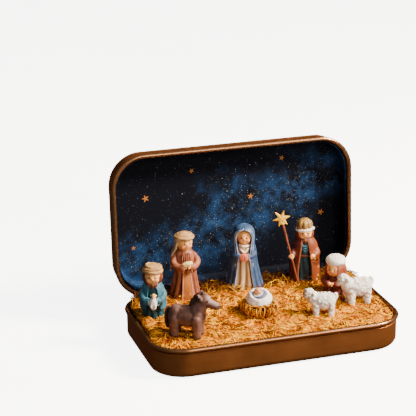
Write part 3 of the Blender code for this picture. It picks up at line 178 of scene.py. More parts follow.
def finish(name, **fixed):
    """A new material: gives back it, its tree, its shader's inputs and its object coordinates."""
    made = bpy.data.materials.new(name)
    made.use_nodes = True
    tree = made.node_tree
    shader = tree.nodes["Principled BSDF"]
    for socket, value in fixed.items():
        shader.inputs[socket.replace("_", " ")].default_value = value
    spot = add(tree, "ShaderNodeTexCoord", out=3)
    return made, tree, shader.inputs, spot


def table_top():
    made, tree, skin, spot = finish("pale_table", Roughness=0.8, Emission_Strength=7.0)
    tone = cloud(tree, spot, 60.0 * MM)
    pale = mixed(tree, tone, (0.86, 0.86, 0.85), (0.90, 0.90, 0.89))
    plug(tree, skin["Base Color"], pale)
    plug(tree, skin["Emission Color"], pale)
    return made


TABLE_SIDE = 6.0
TABLE_GAP = 0.02 * MM
floor = bpy.data.meshes.new("table")
work = bmesh.new()
bmesh.ops.create_grid(work, x_segments=2, y_segments=2, size=TABLE_SIDE / 2.0)
work.to_mesh(floor)
work.free()
floor.materials.append(table_top())
table = bpy.data.objects.new("table", floor)
table.location = (0.0, 0.0, cad_low.z - TABLE_GAP)
table.visible_diffuse = False
table.visible_glossy = False
bpy.context.scene.collection.objects.link(table)


# Base pan. Tinplate lacquered copper brown, pressed in one piece: a flat floor, a round lower edge, a plain
# wall, a step in for the lid, and a rim rolled outward over the hinge wire, slotted at the rear for the tabs.
TIN_LENGTH = 96.0
TIN_DEPTH = 56.0
BASE_HEIGHT = 11.6
CORNER_RADIUS = 13.2
SHEET = 0.35
ROLL_RADIUS = 0.7
ROLL_OUTER = ROLL_RADIUS + SHEET / 2.0
WALL_LENGTH = TIN_LENGTH - 2.0 * ROLL_OUTER
WALL_DEPTH = TIN_DEPTH - 2.0 * ROLL_OUTER
WALL_CORNER = CORNER_RADIUS - ROLL_OUTER
NECK_HEIGHT = 1.05
SHOULDER_HEIGHT = 0.45
FLOOR_EDGE_RADIUS = 2.2
HINGE_Y = WALL_DEPTH / 2.0
HINGE_Z = BASE_HEIGHT - ROLL_OUTER
TAB_WIDTH = 9.0
TAB_CENTRES = (-22.0, 22.0)
TAB_PLAY = 0.4
RIM_PLAY = 0.3
CORNER_STEPS = 22
EDGE_STEPS = 7
GROOVE_STEPS = 8
SHOULDER_STEPS = 4
ROLL_STEPS = 22
RIM_SHADE_LOW = 0.95
RIM_SHADE_HIGH = 0.40


def rounded_ring(offset, height):
    """The tin's plan outline, grown by an offset, as points at one height."""
    radius = WALL_CORNER + offset
    reach_x = WALL_LENGTH / 2.0 + offset - radius
    reach_y = WALL_DEPTH / 2.0 + offset - radius
    ring = []
    for quarter, (sx, sy) in enumerate(((1, 1), (-1, 1), (-1, -1), (1, -1))):
        for step in range(CORNER_STEPS + 1):
            angle = math.pi / 2.0 * (quarter + step / CORNER_STEPS)
            x, y = radius * math.cos(angle), radius * math.sin(angle)
            ring.append((sx * reach_x + x, sy * reach_y + y, height))
    return ring


def skin_over(rings, closed=True):
    """A skin over rings with equal numbers of points. The first ring is capped, and the last if closed."""
    work = bmesh.new()
    loops = [[work.verts.new(point) for point in ring] for ring in rings]
    count = len(rings[0])
    for low, high in zip(loops, loops[1:]):
        for i in range(count):
            j = (i + 1) % count
            work.faces.new((low[i], low[j], high[j], high[i]))
    work.faces.new(list(reversed(loops[0])))
    if closed:
        work.faces.new(loops[-1])
    return work


def mesh_of(work):
    mesh = bpy.data.meshes.new("work")
    work.to_mesh(mesh)
    work.free()
    return mesh


def pressed_profile(wall_top, edge_radius, groove):
    """Offsets and heights of the sheet's middle, from the flat to the end of the rolled rim. A groove is
    given by its low edge, its width and its depth."""
    line = []
    for step in range(EDGE_STEPS + 1):
        angle = math.pi / 2.0 * step / EDGE_STEPS
        rise = SHEET / 2.0 + edge_radius * (1.0 - math.cos(angle))
        line.append((-edge_radius * (1.0 - math.sin(angle)), rise))
    neck = wall_top - ROLL_OUTER - NECK_HEIGHT
    if groove:
        low, width, depth = groove
        for step in range(GROOVE_STEPS + 1):
            share = step / GROOVE_STEPS
            dip = (1.0 - math.cos(2.0 * math.pi * share)) / 2.0
            line.append((-depth * dip, low + width * share))
    for step in range(SHOULDER_STEPS + 1):
        share = step / SHOULDER_STEPS
        ease = share * share * (3.0 - 2.0 * share)
        line.append((-ROLL_RADIUS * ease, neck - SHOULDER_HEIGHT * (1.0 - share)))
    for step in range(ROLL_STEPS + 1):
        angle = math.radians(180.0 - 270.0 * step / ROLL_STEPS)
        line.append((ROLL_RADIUS * math.cos(angle), wall_top - ROLL_OUTER + ROLL_RADIUS * math.sin(angle)))
    return line


def bare(mesh, name="work"):
    made = bpy.data.objects.new(name, mesh)
    bpy.context.scene.collection.objects.link(made)
    return made


def settled(source):
    """The mesh that an object's modifiers make, with the object removed."""
    bpy.context.view_layer.update()
    mesh = bpy.data.meshes.new_from_object(source.evaluated_get(bpy.context.evaluated_depsgraph_get()))
    bpy.data.objects.remove(source, do_unlink=True)
    return mesh


def thickened(mesh, thickness, even=True):
    """A sheet of one thickness, laid half to each side of a mesh."""
    source = bare(mesh)
    wall = source.modifiers.new("sheet", "SOLIDIFY")
    wall.thickness = thickness
    wall.offset = 0.0
    wall.use_even_offset = even
    return settled(source)


def box_mesh(centre, size):
    work = bmesh.new()
    bmesh.ops.create_cube(work, size=1.0)
    place = Matrix.Translation(centre) @ Matrix.Diagonal((*size, 1.0))
    bmesh.ops.transform(work, matrix=place, verts=work.verts)
    return mesh_of(work)


def carved(mesh, operation, tools):
    """Cut or join a mesh with others, one after another."""
    for tool in tools:
        source, other = bare(mesh), bare(tool)
        step = source.modifiers.new("step", "BOOLEAN")
        step.operation = operation
        step.solver = "EXACT"
        step.object = other
        mesh = settled(source)
        bpy.data.objects.remove(other, do_unlink=True)
    return mesh


def pressed_pan(wall_top, edge_radius, groove=None):
    line = pressed_profile(wall_top, edge_radius, groove)
    work = skin_over([rounded_ring(offset, height) for offset, height in line], closed=False)
    return thickened(mesh_of(work), SHEET)


def piece(name, mesh, material, body, nodes=(), place=Matrix.Identity(4), crease=70.0):
    """A finished piece from a mesh in millimetres: put in its place, shaded, and tied to its body."""
    mesh.name = name
    mesh.transform(Matrix.Scale(MM, 4) @ place)
    mesh.materials.clear()
    mesh.materials.append(material)
    mesh.shade_smooth()
    mesh.set_sharp_from_angle(angle=math.radians(crease))
    made = bare(mesh, name)
    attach(made, body)
    if nodes:
        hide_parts(*nodes)


def ramp(tree, value, low, high):
    """A value from 0 at low to 1 at high, smoothed at both ends."""
    return add(tree, "ShaderNodeMapRange", {"Value": value, "From Min": low, "From Max": high},
               interpolation_type="SMOOTHSTEP")


def bump(tree, height, strength, distance):
    """The normal of a surface raised by a height, in metres at full strength."""
    return add(tree, "ShaderNodeBump", {"Height": height, "Strength": strength, "Distance": distance})


def vector(tree, operation, *values, out=0, **named):
    """A step of vector maths. Its first sockets are filled in order, and any others by name."""
    return add(tree, "ShaderNodeVectorMath", {**dict(enumerate(values)), **named}, out, operation=operation)


def copper(name, rim_edge, along):
    """Lacquered copper-brown tinplate, glossier along the rolled rim, where a darker colour is painted shade
    for the roll's dark reflections. The rim's edge is given in millimetres, and its direction as a unit
    vector."""
    made, tree, skin, spot = finish(name, Metallic=0.9, Coat_Roughness=0.2,
                                    Specular_Tint=(0.5, 0.28, 0.16, 1.0))
    height = vector(tree, "DOT_PRODUCT", spot, along, out=1)
    rim = ramp(tree, height, (rim_edge - RIM_SHADE_LOW) * MM, (rim_edge - RIM_SHADE_HIGH) * MM)
    brushed = add(tree, "ShaderNodeMapping", {"Vector": spot, "Scale": (60.0, 60.0, 900.0)})
    drift = cloud(tree, spot, 9.0 * MM, 4.0)
    streak = cloud(tree, brushed, 1.0, 2.0)
    rubbed = cloud(tree, spot, 1.6 * MM, 5.0, 0.65)
    body = mixed(tree, drift * 0.7 + streak * 0.3, (0.28, 0.088, 0.023), (0.49, 0.175, 0.052))
    # Painted shade: the rolled rim takes a darker bronze brown for the dark reflections on the roll.
    rim_painted_shade = mixed(tree, rubbed, (0.15, 0.075, 0.034), (0.34, 0.19, 0.10))
    plug(tree, skin["Base Color"], mixed(tree, rim * 0.75, body, rim_painted_shade))
    plug(tree, skin["Roughness"], 0.30 + drift * 0.14 + rubbed * 0.08 - rim * 0.14)
    plug(tree, skin["Coat Weight"], 0.07 + rim * 0.18)
    plug(tree, skin["Normal"], bump(tree, cloud(tree, spot, 0.5 * MM, 3.0), 0.12, 0.02 * MM))
    return made


SLOT_DROP = NECK_HEIGHT + SHOULDER_HEIGHT + RIM_PLAY
SLOT_HEIGHT = SLOT_DROP + 2.0 * ROLL_OUTER + RIM_PLAY
slots = [box_mesh((x, HINGE_Y, HINGE_Z - SLOT_DROP + SLOT_HEIGHT / 2.0),
                  (TAB_WIDTH + 2.0 * TAB_PLAY, 4.0 * ROLL_OUTER, SLOT_HEIGHT)) for x in TAB_CENTRES]
base = carved(pressed_pan(BASE_HEIGHT, FLOOR_EDGE_RADIUS), "DIFFERENCE", slots)
base_copper = copper("copper_base", BASE_HEIGHT, (0.0, 0.0, 1.0))
piece("base_pan_lacquered", base, base_copper, "base", ["base_pan"], crease=40.0)


# Hinge wire. A straight drawn steel wire lies inside the rear roll of the base, and shows only in the two
# slots where the lid's tabs curl round it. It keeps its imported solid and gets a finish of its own.
def drawn_steel():
    made, tree, skin, spot = finish("drawn_steel", Metallic=1.0)
    lines = add(tree, "ShaderNodeMapping", {"Vector": spot, "Scale": (400.0, 9000.0, 9000.0)})
    drawn = cloud(tree, lines, 1.0, 2.0)
    plug(tree, skin["Base Color"], mixed(tree, drawn, (0.30, 0.27, 0.25), (0.58, 0.55, 0.52)))
    plug(tree, skin["Roughness"], 0.28 + drawn * 0.2)
    return made


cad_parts["hinge_wire"].data.materials.clear()
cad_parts["hinge_wire"].data.materials.append(drawn_steel())


# Lid pan. The same lacquered tinplate, shallower, with one groove pressed round its wall. Two tabs left at
# its rear edge curl round the hinge wire and end in a lip that stops the lid a little past upright.
LID_HEIGHT = 9.4
PANEL_EDGE_RADIUS = 1.6
LID_GROOVE = (2.4, 0.8, 0.4)
TAB_SHEET = 0.3
TAB_LIP = 1.5
TAB_STEPS = 18
OPEN_ANGLE = math.radians(93.0)

RIM_TO_AXIS = ROLL_OUTER + RIM_PLAY
LID_TOP = RIM_TO_AXIS + LID_HEIGHT
shut = Matrix.Translation((0.0, -HINGE_Y, LID_TOP)) @ Matrix.Diagonal((1.0, 1.0, -1.0, 1.0))
opened = Matrix.Translation((0.0, HINGE_Y, HINGE_Z)) @ Matrix.Rotation(-OPEN_ANGLE, 4, "X")


def hinge_tab(middle_x):
    """A strip of the lid's sheet, curled once round the wire, with its lip."""
    roll_centre = RIM_TO_AXIS + ROLL_OUTER
    lip = ROLL_RADIUS + TAB_LIP
    tail = OPEN_ANGLE - math.acos((SHEET / 2.0 + RIM_PLAY + TAB_SHEET / 2.0) / lip)
    path = [(-ROLL_RADIUS, roll_centre + NECK_HEIGHT * 0.85), (-ROLL_RADIUS, roll_centre)]
    for step in range(TAB_STEPS + 1):
        angle = math.pi + (math.pi + tail) * step / TAB_STEPS
        path.append((ROLL_RADIUS * math.cos(angle), ROLL_RADIUS * math.sin(angle)))
    path.append((lip * math.cos(tail), lip * math.sin(tail)))
    work = bmesh.new()
    half = TAB_WIDTH * 0.49
    rows = [[work.verts.new((middle_x + side * half, y, z)) for y, z in path] for side in (-1, 1)]
    for i in range(len(path) - 1):
        work.faces.new((rows[0][i], rows[1][i], rows[1][i + 1], rows[0][i + 1]))
    return thickened(mesh_of(work), TAB_SHEET)


lid = pressed_pan(LID_HEIGHT, PANEL_EDGE_RADIUS, LID_GROOVE)
lid.transform(shut)
lid.flip_normals()
notch_depth = ROLL_OUTER + ROLL_RADIUS - SHEET
notch_bottom = RIM_TO_AXIS - RIM_PLAY
notch_top = RIM_TO_AXIS + 2.0 * ROLL_OUTER + RIM_PLAY / 2.0
notches = [box_mesh((x, -ROLL_RADIUS + SHEET + notch_depth, (notch_bottom + notch_top) / 2.0),
                    (TAB_WIDTH, 2.0 * notch_depth, notch_top - notch_bottom)) for x in TAB_CENTRES]
lid = carved(lid, "DIFFERENCE", notches)
lid = carved(lid, "UNION", [hinge_tab(x) for x in TAB_CENTRES])
mouth = opened.to_3x3() @ Vector((0.0, 0.0, -1.0))
mouth_place = mouth.dot(opened @ Vector((0.0, 0.0, RIM_TO_AXIS)))
lid_copper = copper("copper_lid", mouth_place, tuple(mouth))
piece("lid_pan_lacquered", lid, lid_copper, "lid", ["lid_pan"], opened, crease=40.0)


# Night-sky card. A printed card fills the inside of the lid, pressed in and held by its fit. It has a
# slanting band of pale star dust on deep navy, loose white stars, and a few small gold ones.
GOLD_STARS = ((-33.0, 46.0, 1.5), (-14.5, 55.0, 1.1), (9.0, 42.5, 1.3), (22.0, 56.5, 1.2), (38.0, 33.0, 1.4),
              (-38.5, 27.0, 1.0))
BAND_SLOPE = math.radians(24.0)
BAND_HEIGHT = 34.0
BAND_WARP = 34.0


def axis(tree, spot, which):
    """One coordinate of a place: 0, 1 or 2 for x, y or z."""
    return add(tree, "ShaderNodeSeparateXYZ", {0: spot}, which)


def night_sky():
    made, tree, skin, spot = finish("night_sky_print", Specular_IOR_Level=0.06)
    across = axis(tree, spot, 0)
    up = axis(tree, spot, 2)
    warp = cloud(tree, spot, 16.0 * MM, 4.0, 0.6)
    off_band = (up - BAND_HEIGHT * MM) * math.cos(BAND_SLOPE) - across * math.sin(BAND_SLOPE)
    off_band = off_band + (warp - 0.5) * (BAND_WARP * MM)
    band = 1.0 - ramp(tree, maths(tree, "ABSOLUTE", off_band), 2.0 * MM, 19.0 * MM)
    patches = ramp(tree, cloud(tree, spot, 7.0 * MM, 5.0, 0.62), 0.38, 0.68)
    night = mixed(tree, band * patches, (0.0024, 0.0032, 0.0072), (0.009, 0.038, 0.115))
    haze = ramp(tree, cloud(tree, spot, 3.2 * MM, 6.0, 0.7), 0.52, 0.80)
    night = mixed(tree, band * haze * 0.30, night, (0.075, 0.12, 0.18))
    light = None
    for size, reach, brightness in ((0.42 * MM, 0.24, 0.24), (0.80 * MM, 0.18, 0.42), (2.3 * MM, 0.075, 0.8)):
        grain = add(tree, "ShaderNodeTexVoronoi", {"Vector": spot, "Scale": 1.0 / size}, out=0)
        pick = add(tree, "ShaderNodeTexVoronoi", {"Vector": spot, "Scale": 1.0 / size}, out=1)
        chosen = add(tree, "ShaderNodeSeparateColor", {0: pick}, out=0)
        kept = ramp(tree, chosen + band * 0.42, 0.80, 1.02)
        dot = (1.0 - ramp(tree, grain, reach * 0.35, reach)) * kept * brightness
        light = dot if light is None else maths(tree, "MAXIMUM", light, dot)
    night = mixed(tree, light, night, (0.62, 0.72, 0.80))
    gold = None
    for x, z, reach in GOLD_STARS:
        dx = (across - x * MM) / (reach * MM)
        dz = (up - z * MM) / (reach * MM)
        away = maths(tree, "SQRT", dx * dx + dz * dz)
        rays = maths(tree, "COSINE", maths(tree, "ARCTAN2", dz, dx) * 2.5 + x)
        edge = 0.38 + 0.62 * (rays * rays) ** 1.6
        star = 1.0 - ramp(tree, away / edge, 0.75, 1.05)
        gold = star if gold is None else maths(tree, "MAXIMUM", gold, star)
    plug(tree, skin["Base Color"], mixed(tree, gold, night, (0.30, 0.12, 0.028)))
    plug(tree, skin["Roughness"], 0.62 - gold * 0.25)
    plug(tree, skin["Normal"], bump(tree, cloud(tree, spot, 0.35 * MM, 3.0), 0.15, 0.02 * MM))
    return made


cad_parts["lid_sky_card"].data.materials.clear()
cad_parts["lid_sky_card"].data.materials.append(night_sky())


# Straw. Golden wood wool is packed in the base: a matted lower bed, combed locks over it, and loose curls on
# top that stand up at the rear. Its strands are three-sided shavings about 0.3 mm thick.
STRAW_FRONT = 10.3
STRAW_REAR = 13.1
STRAW_INSET = ROLL_OUTER + 0.35
STRAW_FLOOR = 0.6
STRAW_LUMP = 0.6
STRAW_LUMP_SPACING = 9.2
STRAW_CELL = 1.2
BED_DROP = 0.75
BED_TAPER_X = 0.97
BED_TAPER_Y = 0.95
STRAW_EDGE_DROP = 0.9
STRAW_EDGE_REACH = 2.2
STRAW_TUFT = 1.5
STRAW_TUFT_REACH = 3.4
FIELD_SIZE = 15.0
RIPPLE_SIZE = 3.2
STRAND_SWEEPS = (15.0, 32.0, 58.0, 92.0, 140.0, 230.0)
STRAND_POINTS = 12
RAY_SHRINK = 0.985
PER_MM2 = 1e6
STRAW_TUFTS = ((-0.115, 0.37), (0.115, 0.38), (0.385, 0.33), (-0.37, 0.33))


def straw_level(y):
    return STRAW_FRONT + (STRAW_REAR - STRAW_FRONT) * (y + TIN_DEPTH / 2.0) / TIN_DEPTH


def straw_top(x, y):
    """Height of the straw with its locks, its tufts and the drop toward the tin's wall."""
    wave = 2.0 * math.pi / STRAW_LUMP_SPACING
    lock = math.sin(wave * x + math.sin(0.4 * wave * y)) * math.cos(wave * y + math.sin(0.3 * wave * x))
    height = straw_level(y) + lock * STRAW_LUMP
    for share_x, share_y in STRAW_TUFTS:
        away = math.hypot(x - share_x * TIN_LENGTH, y - share_y * TIN_DEPTH)
        height += STRAW_TUFT * math.exp(-(away / STRAW_TUFT_REACH) ** 2)
    edge = max(0.0, min(WALL_LENGTH / 2.0 - abs(x), WALL_DEPTH / 2.0 - abs(y)))
    return height - STRAW_EDGE_DROP * math.exp(-edge / STRAW_EDGE_REACH)


def in_the_pan(x, y, margin):
    """Whether a place lies inside the pan's rounded outline, by at least a margin."""
    past_x = max(abs(x) - (WALL_LENGTH / 2.0 - WALL_CORNER), 0.0)
    past_y = max(abs(y) - (WALL_DEPTH / 2.0 - WALL_CORNER), 0.0)
    return math.hypot(past_x, past_y) < WALL_CORNER - STRAW_INSET - margin


def straw_surface(rise, rear_from=-TIN_DEPTH):
    """The top of the straw alone, at a height over or under it, from one place to the rear."""
    work = bmesh.new()
    columns, rows = round(TIN_LENGTH / STRAW_CELL), round(TIN_DEPTH / STRAW_CELL)
    lines = []
    for j in range(rows + 1):
        y = TIN_DEPTH * (j / rows - 0.5)
        across = [TIN_LENGTH * (i / columns - 0.5) for i in range(columns + 1)]
        lines.append([work.verts.new((x, y, straw_top(x, y) + rise)) for x in across])
    for near, far in zip(lines, lines[1:]):
        for i in range(columns):
            corner = (near[i], near[i + 1], far[i + 1], far[i])
            middle = sum((vertex.co for vertex in corner), Vector()) / 4.0
            if in_the_pan(middle.x, middle.y, 0.3) and middle.y > rear_from:
                work.faces.new(corner)
    for vertex in [vertex for vertex in work.verts if not vertex.link_faces]:
        work.verts.remove(vertex)
    return mesh_of(work)


def matted_bed():
    """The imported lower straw, closed: its lumpy top over a bottom that follows the pan."""
    work = bmesh.new()
    work.from_mesh(straw_surface(-BED_DROP))
    rim = [edge for edge in work.edges if edge.is_boundary]
    drawn = bmesh.ops.extrude_edge_only(work, edges=rim)["geom"]
    low = [made for made in drawn if isinstance(made, bmesh.types.BMVert)]
    for vertex in low:
        vertex.co = Vector((vertex.co.x * BED_TAPER_X, vertex.co.y * BED_TAPER_Y, STRAW_FLOOR))
    edges = [made for made in drawn if isinstance(made, bmesh.types.BMEdge)]
    edges = [edge for edge in edges if all(end in low for end in edge.verts)]
    bmesh.ops.holes_fill(work, edges=edges, sides=0)
    bmesh.ops.recalc_face_normals(work, faces=work.faces)
    return mesh_of(work)


def straw_finish(name, dark, middle, pale, streak):
    """Wood wool: each strand has its own tone, and it has a painted shade, darker brown, at the rear and at
    the tin's two ends, where the straw lies in the shade of the walls and the lid.
    """
    made, tree, skin, spot = finish(name, Roughness=0.65, Specular_IOR_Level=0.07)
    tone = add(tree, "ShaderNodeAttribute", out=2, attribute_name="tone")
    patch = cloud(tree, spot, 6.0 * MM, 3.0)
    fine = cloud(tree, spot, streak, 3.0)
    shade = tone * 0.72 + patch * 0.42 + fine * 0.10 - 0.12
    colour = add(tree, "ShaderNodeValToRGB", {"Fac": shade},
                 stops=((0.22, dark), (0.50, middle), (0.82, pale)))
    rear = ramp(tree, axis(tree, spot, 1), 14.5 * MM, 19.5 * MM)
    end = ramp(tree, maths(tree, "ABSOLUTE", axis(tree, spot, 0)), 43.0 * MM, 47.0 * MM)
    # Painted shade: darker brown toward the rear and toward both ends of the tin.
    rear_painted_shade = maths(tree, "MAXIMUM", rear, end) * ramp(tree, tone * 0.5 + patch, 1.28, 0.84) * 0.92
    plug(tree, skin["Base Color"], mixed(tree, rear_painted_shade, colour, (0.060, 0.017, 0.008)))
    plug(tree, skin["Normal"], bump(tree, fine, 0.3, 0.05 * MM))
    return made


# The matted bed is much darker than the strands: painted shade for the deep shade among them.
bed_finish = straw_finish("matted_straw", (0.045, 0.010, 0.001), (0.16, 0.040, 0.002), (0.36, 0.12, 0.005),
                          0.5 * MM)
piece("straw_matted_bed", matted_bed(), bed_finish, "base", ["straw_bed"], crease=80.0)
strand_finish = straw_finish("wood_wool", (0.16, 0.030, 0.002), (0.67, 0.220, 0.001), (0.95, 0.530, 0.004),
                             0.3 * MM)


def new_tree(name, **kinds):
    """A node tree that takes a mesh and other inputs of these kinds, and what each of its inputs gives."""
    tree = bpy.data.node_groups.new(name, "GeometryNodeTree")
    for socket, kind in {"Geometry": "Geometry", **kinds}.items():
        tree.interface.new_socket(socket, in_out="INPUT", socket_type="NodeSocket" + kind)
    tree.interface.new_socket("Geometry", in_out="OUTPUT", socket_type="NodeSocketGeometry")
    entry = tree.nodes.new("NodeGroupInput")
    return tree, {socket.name: Wire(tree, socket) for socket in entry.outputs if socket.name}


def kept(tree, geometry, value):
    """Keep a value on a geometry's points before they change. Gives back both."""
    made = tree.nodes.new("GeometryNodeCaptureAttribute")
    made.capture_items.new("FLOAT", "kept")
    plug(tree, made.inputs[0], geometry)
    plug(tree, made.inputs[1], value)
    return Wire(tree, made.outputs[0]), Wire(tree, made.outputs[1])


def thick_strands(tree, given, curves, tone, sides, **sockets):
    """The end of a tree: sweep its curves to closed strands, and give them their tone and finish."""
    outline = add(tree, "GeometryNodeCurvePrimitiveCircle",
                  {"Resolution": sides, "Radius": given["Thickness"]})
    solid = add(tree, "GeometryNodeCurveToMesh",
                {"Curve": curves, "Profile Curve": outline, "Fill Caps": True, **sockets})
    solid = add(tree, "GeometryNodeStoreNamedAttribute", {"Geometry": solid, "Name": "tone", "Value": tone},
                data_type="FLOAT", domain="POINT")
    solid = add(tree, "GeometryNodeRealizeInstances", {"Geometry": solid})
    solid = add(tree, "GeometryNodeSetMaterial", {"Geometry": solid, "Material": given["Finish"]})
    tree.links.new(solid.socket, tree.nodes.new("NodeGroupOutput").inputs[0])
    return tree


def straw_tree():
    """Strands scattered over a surface: arcs of several sweeps, turned with a slow field, rippled, kept
    inside the tin's wall, laid on the surface, and kept under a height."""
    amounts = ("Density", "Shortest", "Longest", "Thickness", "Ripple", "Lean", "Lift", "Highest")
    tree, given = new_tree("wood_wool_strands", **dict.fromkeys(amounts, "Float"), Seed="Int",
                           Finish="Material")
    points = add(tree, "GeometryNodeDistributePointsOnFaces",
                 {"Mesh": given["Geometry"], "Density": given["Density"], "Seed": given["Seed"]})
    spot = add(tree, "GeometryNodeInputPosition")

    def chance(low, high, offset):
        """A random number for each strand. The offset keeps it apart from the others."""
        return add(tree, "FunctionNodeRandomValue", {2: low, 3: high, "Seed": given["Seed"] + offset}, out=1)

    def moved(geometry, offset):
        return add(tree, "GeometryNodeSetPosition", {"Geometry": geometry, "Offset": offset})

    def upright(height):
        return add(tree, "ShaderNodeCombineXYZ", {2: height})

    points, tone = kept(tree, points, chance(0.0, 1.0, 1.0))
    points, own = kept(tree, points, chance(-40.0, 40.0, 2.0))
    points, root = kept(tree, points, axis(tree, spot, 2))
    field = add(tree, "ShaderNodeTexNoise", {"Vector": spot, "Scale": 1.0 / (FIELD_SIZE * MM), "Detail": 1.0})
    turn = field * 15.0 + chance(-1.0, 1.0, 3.0) * (given["Lean"] * 2.5 + 0.22)
    tilt = chance(-1.0, 1.0, 4.0) * given["Lean"]
    roll = chance(-1.0, 1.0, 5.0) * given["Lean"] * 0.4
    spin = add(tree, "ShaderNodeCombineXYZ", {0: tilt, 1: roll, 2: turn})

    kinds = tree.nodes.new("GeometryNodeGeometryToInstance")
    for sweep in STRAND_SWEEPS:
        reach = 1.0 / math.radians(sweep)
        middle = math.radians(sweep / 2.0)
        chord = reach * math.sin(middle) / middle
        arc = add(tree, "GeometryNodeCurveArc", {"Resolution": STRAND_POINTS, "Radius": reach,
                                                 "Start Angle": 0.0, "Sweep Angle": math.radians(sweep)})
        centred = (-chord * math.cos(middle), -chord * math.sin(middle), 0.0)
        arc = add(tree, "GeometryNodeTransform", {"Geometry": arc, "Translation": centred})
        tree.links.new(arc.socket, kinds.inputs[0])
    strands = add(tree, "GeometryNodeInstanceOnPoints",
                  {"Points": points, "Instance": Wire(tree, kinds.outputs[0]), "Pick Instance": True,
                   "Rotation": spin, "Scale": chance(given["Shortest"], given["Longest"], 6.0)})
    strands = add(tree, "GeometryNodeRealizeInstances", {"Geometry": strands})

    along = add(tree, "GeometryNodeSplineParameter")
    own_place = vector(tree, "ADD", spot, add(tree, "ShaderNodeCombineXYZ", {0: own, 1: own, 2: own}))
    wave = add(tree, "ShaderNodeTexNoise",
               {"Vector": own_place, "Scale": 1.0 / (RIPPLE_SIZE * MM), "Detail": 1.0}, out=1)
    wave = vector(tree, "SUBTRACT", wave, (0.5, 0.5, 0.5))
    wave = vector(tree, "SCALE", wave, Scale=given["Ripple"])
    arch = (1.0 - (along * 2.0 - 1.0) ** 2.0) * given["Lift"]
    strands = moved(strands, vector(tree, "ADD", wave, upright(arch)))

    flat = vector(tree, "MULTIPLY", spot, (1.0, 1.0, 0.0))
    straight = ((WALL_LENGTH / 2.0 - WALL_CORNER) * MM, (WALL_DEPTH / 2.0 - WALL_CORNER) * MM, 0.0)
    past = vector(tree, "SUBTRACT", vector(tree, "ABSOLUTE", flat), straight)
    past = vector(tree, "MAXIMUM", past, (0.0, 0.0, 0.0))
    room = (WALL_CORNER - STRAW_INSET) * MM
    over = maths(tree, "MAXIMUM", vector(tree, "LENGTH", past, out=1) + given["Thickness"] - room, 0.0)
    outward = vector(tree, "MULTIPLY", vector(tree, "NORMALIZE", past), vector(tree, "SIGN", flat))
    strands = moved(strands, vector(tree, "SCALE", outward, Scale=over * -1.0))

    # A ray falls on the surface from a little nearer to the middle, so that it also meets it at the wall.
    above = vector(tree, "MULTIPLY", spot, (RAY_SHRINK, RAY_SHRINK, 1.0))
    above = vector(tree, "ADD", above, (0.0, 0.0, 1.0))
    ground = add(tree, "GeometryNodeRaycast", {"Target Geometry": given["Geometry"], "Source Position": above,
                                               "Ray Direction": (0.0, 0.0, -1.0), "Ray Length": 2.0}, out=1)
    met = Wire(tree, ground.socket.node.outputs[0])
    strands = moved(strands, upright((axis(tree, ground, 2) - root) * met))
    too_high = maths(tree, "MAXIMUM", axis(tree, spot, 2) - given["Highest"], 0.0)
    strands = moved(strands, upright(too_high * -1.0))
    return thick_strands(tree, given, strands, tone, 3)


def grown(surface, tree, **inputs):
    """Run a node tree, which works in metres, over a mesh in millimetres, and give back what it makes."""
    surface.transform(Matrix.Scale(MM, 4))
    source = bare(surface)
    step = source.modifiers.new("grow", "NODES")
    step.node_group = tree
    sockets = {item.name: item.identifier for item in tree.interface.items_tree if item.in_out == "INPUT"}
    for name, value in inputs.items():
        step[sockets[name]] = value
    mesh = settled(source)
    mesh.transform(Matrix.Scale(1.0 / MM, 4))
    return mesh


straw = straw_tree()
STRAW_LAYERS = (
    ("straw_lower_locks", -0.70, -TIN_DEPTH,
     dict(Density=0.56 * PER_MM2, Shortest=7.0 * MM, Longest=13.0 * MM, Thickness=0.20 * MM, Ripple=0.6 * MM,
          Lean=0.06, Lift=0.3 * MM, Highest=15.0 * MM, Seed=11)),
    ("straw_combed_locks", -0.40, -TIN_DEPTH,
     dict(Density=0.56 * PER_MM2, Shortest=7.0 * MM, Longest=14.0 * MM, Thickness=0.17 * MM, Ripple=0.6 * MM,
          Lean=0.08, Lift=0.4 * MM, Highest=15.0 * MM, Seed=23)),
    ("straw_fine_wool", -0.20, -TIN_DEPTH,
     dict(Density=0.50 * PER_MM2, Shortest=6.0 * MM, Longest=13.0 * MM, Thickness=0.135 * MM, Ripple=0.7 * MM,
          Lean=0.10, Lift=0.4 * MM, Highest=15.2 * MM, Seed=29)),
    ("straw_loose_curls", -0.05, -TIN_DEPTH,
     dict(Density=0.26 * PER_MM2, Shortest=5.0 * MM, Longest=10.0 * MM, Thickness=0.14 * MM, Ripple=1.1 * MM,
          Lean=0.18, Lift=0.6 * MM, Highest=15.4 * MM, Seed=37)),
    ("straw_rear_tufts", 0.1, 15.5,
     dict(Density=0.70 * PER_MM2, Shortest=5.0 * MM, Longest=10.0 * MM, Thickness=0.13 * MM, Ripple=2.2 * MM,
          Lean=1.1, Lift=1.4 * MM, Highest=17.4 * MM, Seed=51)),
)
for name, rise, rear_from, inputs in STRAW_LAYERS:
    strands = grown(straw_surface(rise, rear_from), straw, Finish=strand_finish, **inputs)
    piece(name, strands, strand_finish, "base", crease=80.0)


# Shepherd. A small standing figure of baked clay at the left end: a folded teal robe, a short blue cape,
# sleeves that meet round a lamb, a coiled cream turban and a reddish beard, all pressed together by hand.
FOOT_SINK = 0.7
GARMENT_SIDES = 128
FOLD_SHADE_GAIN = 1.8
WELD = 0.02
ROLL_ENDS = (0.2, 0.6, 1.1)
SHEPHERD_AT = (-0.4135 * TIN_LENGTH, 0.11 * TIN_DEPTH)
SHEPHERD_TURN = -17.0
SHEPHERD_HEIGHT = 13.5
SHEPHERD_HEAD = 3.1


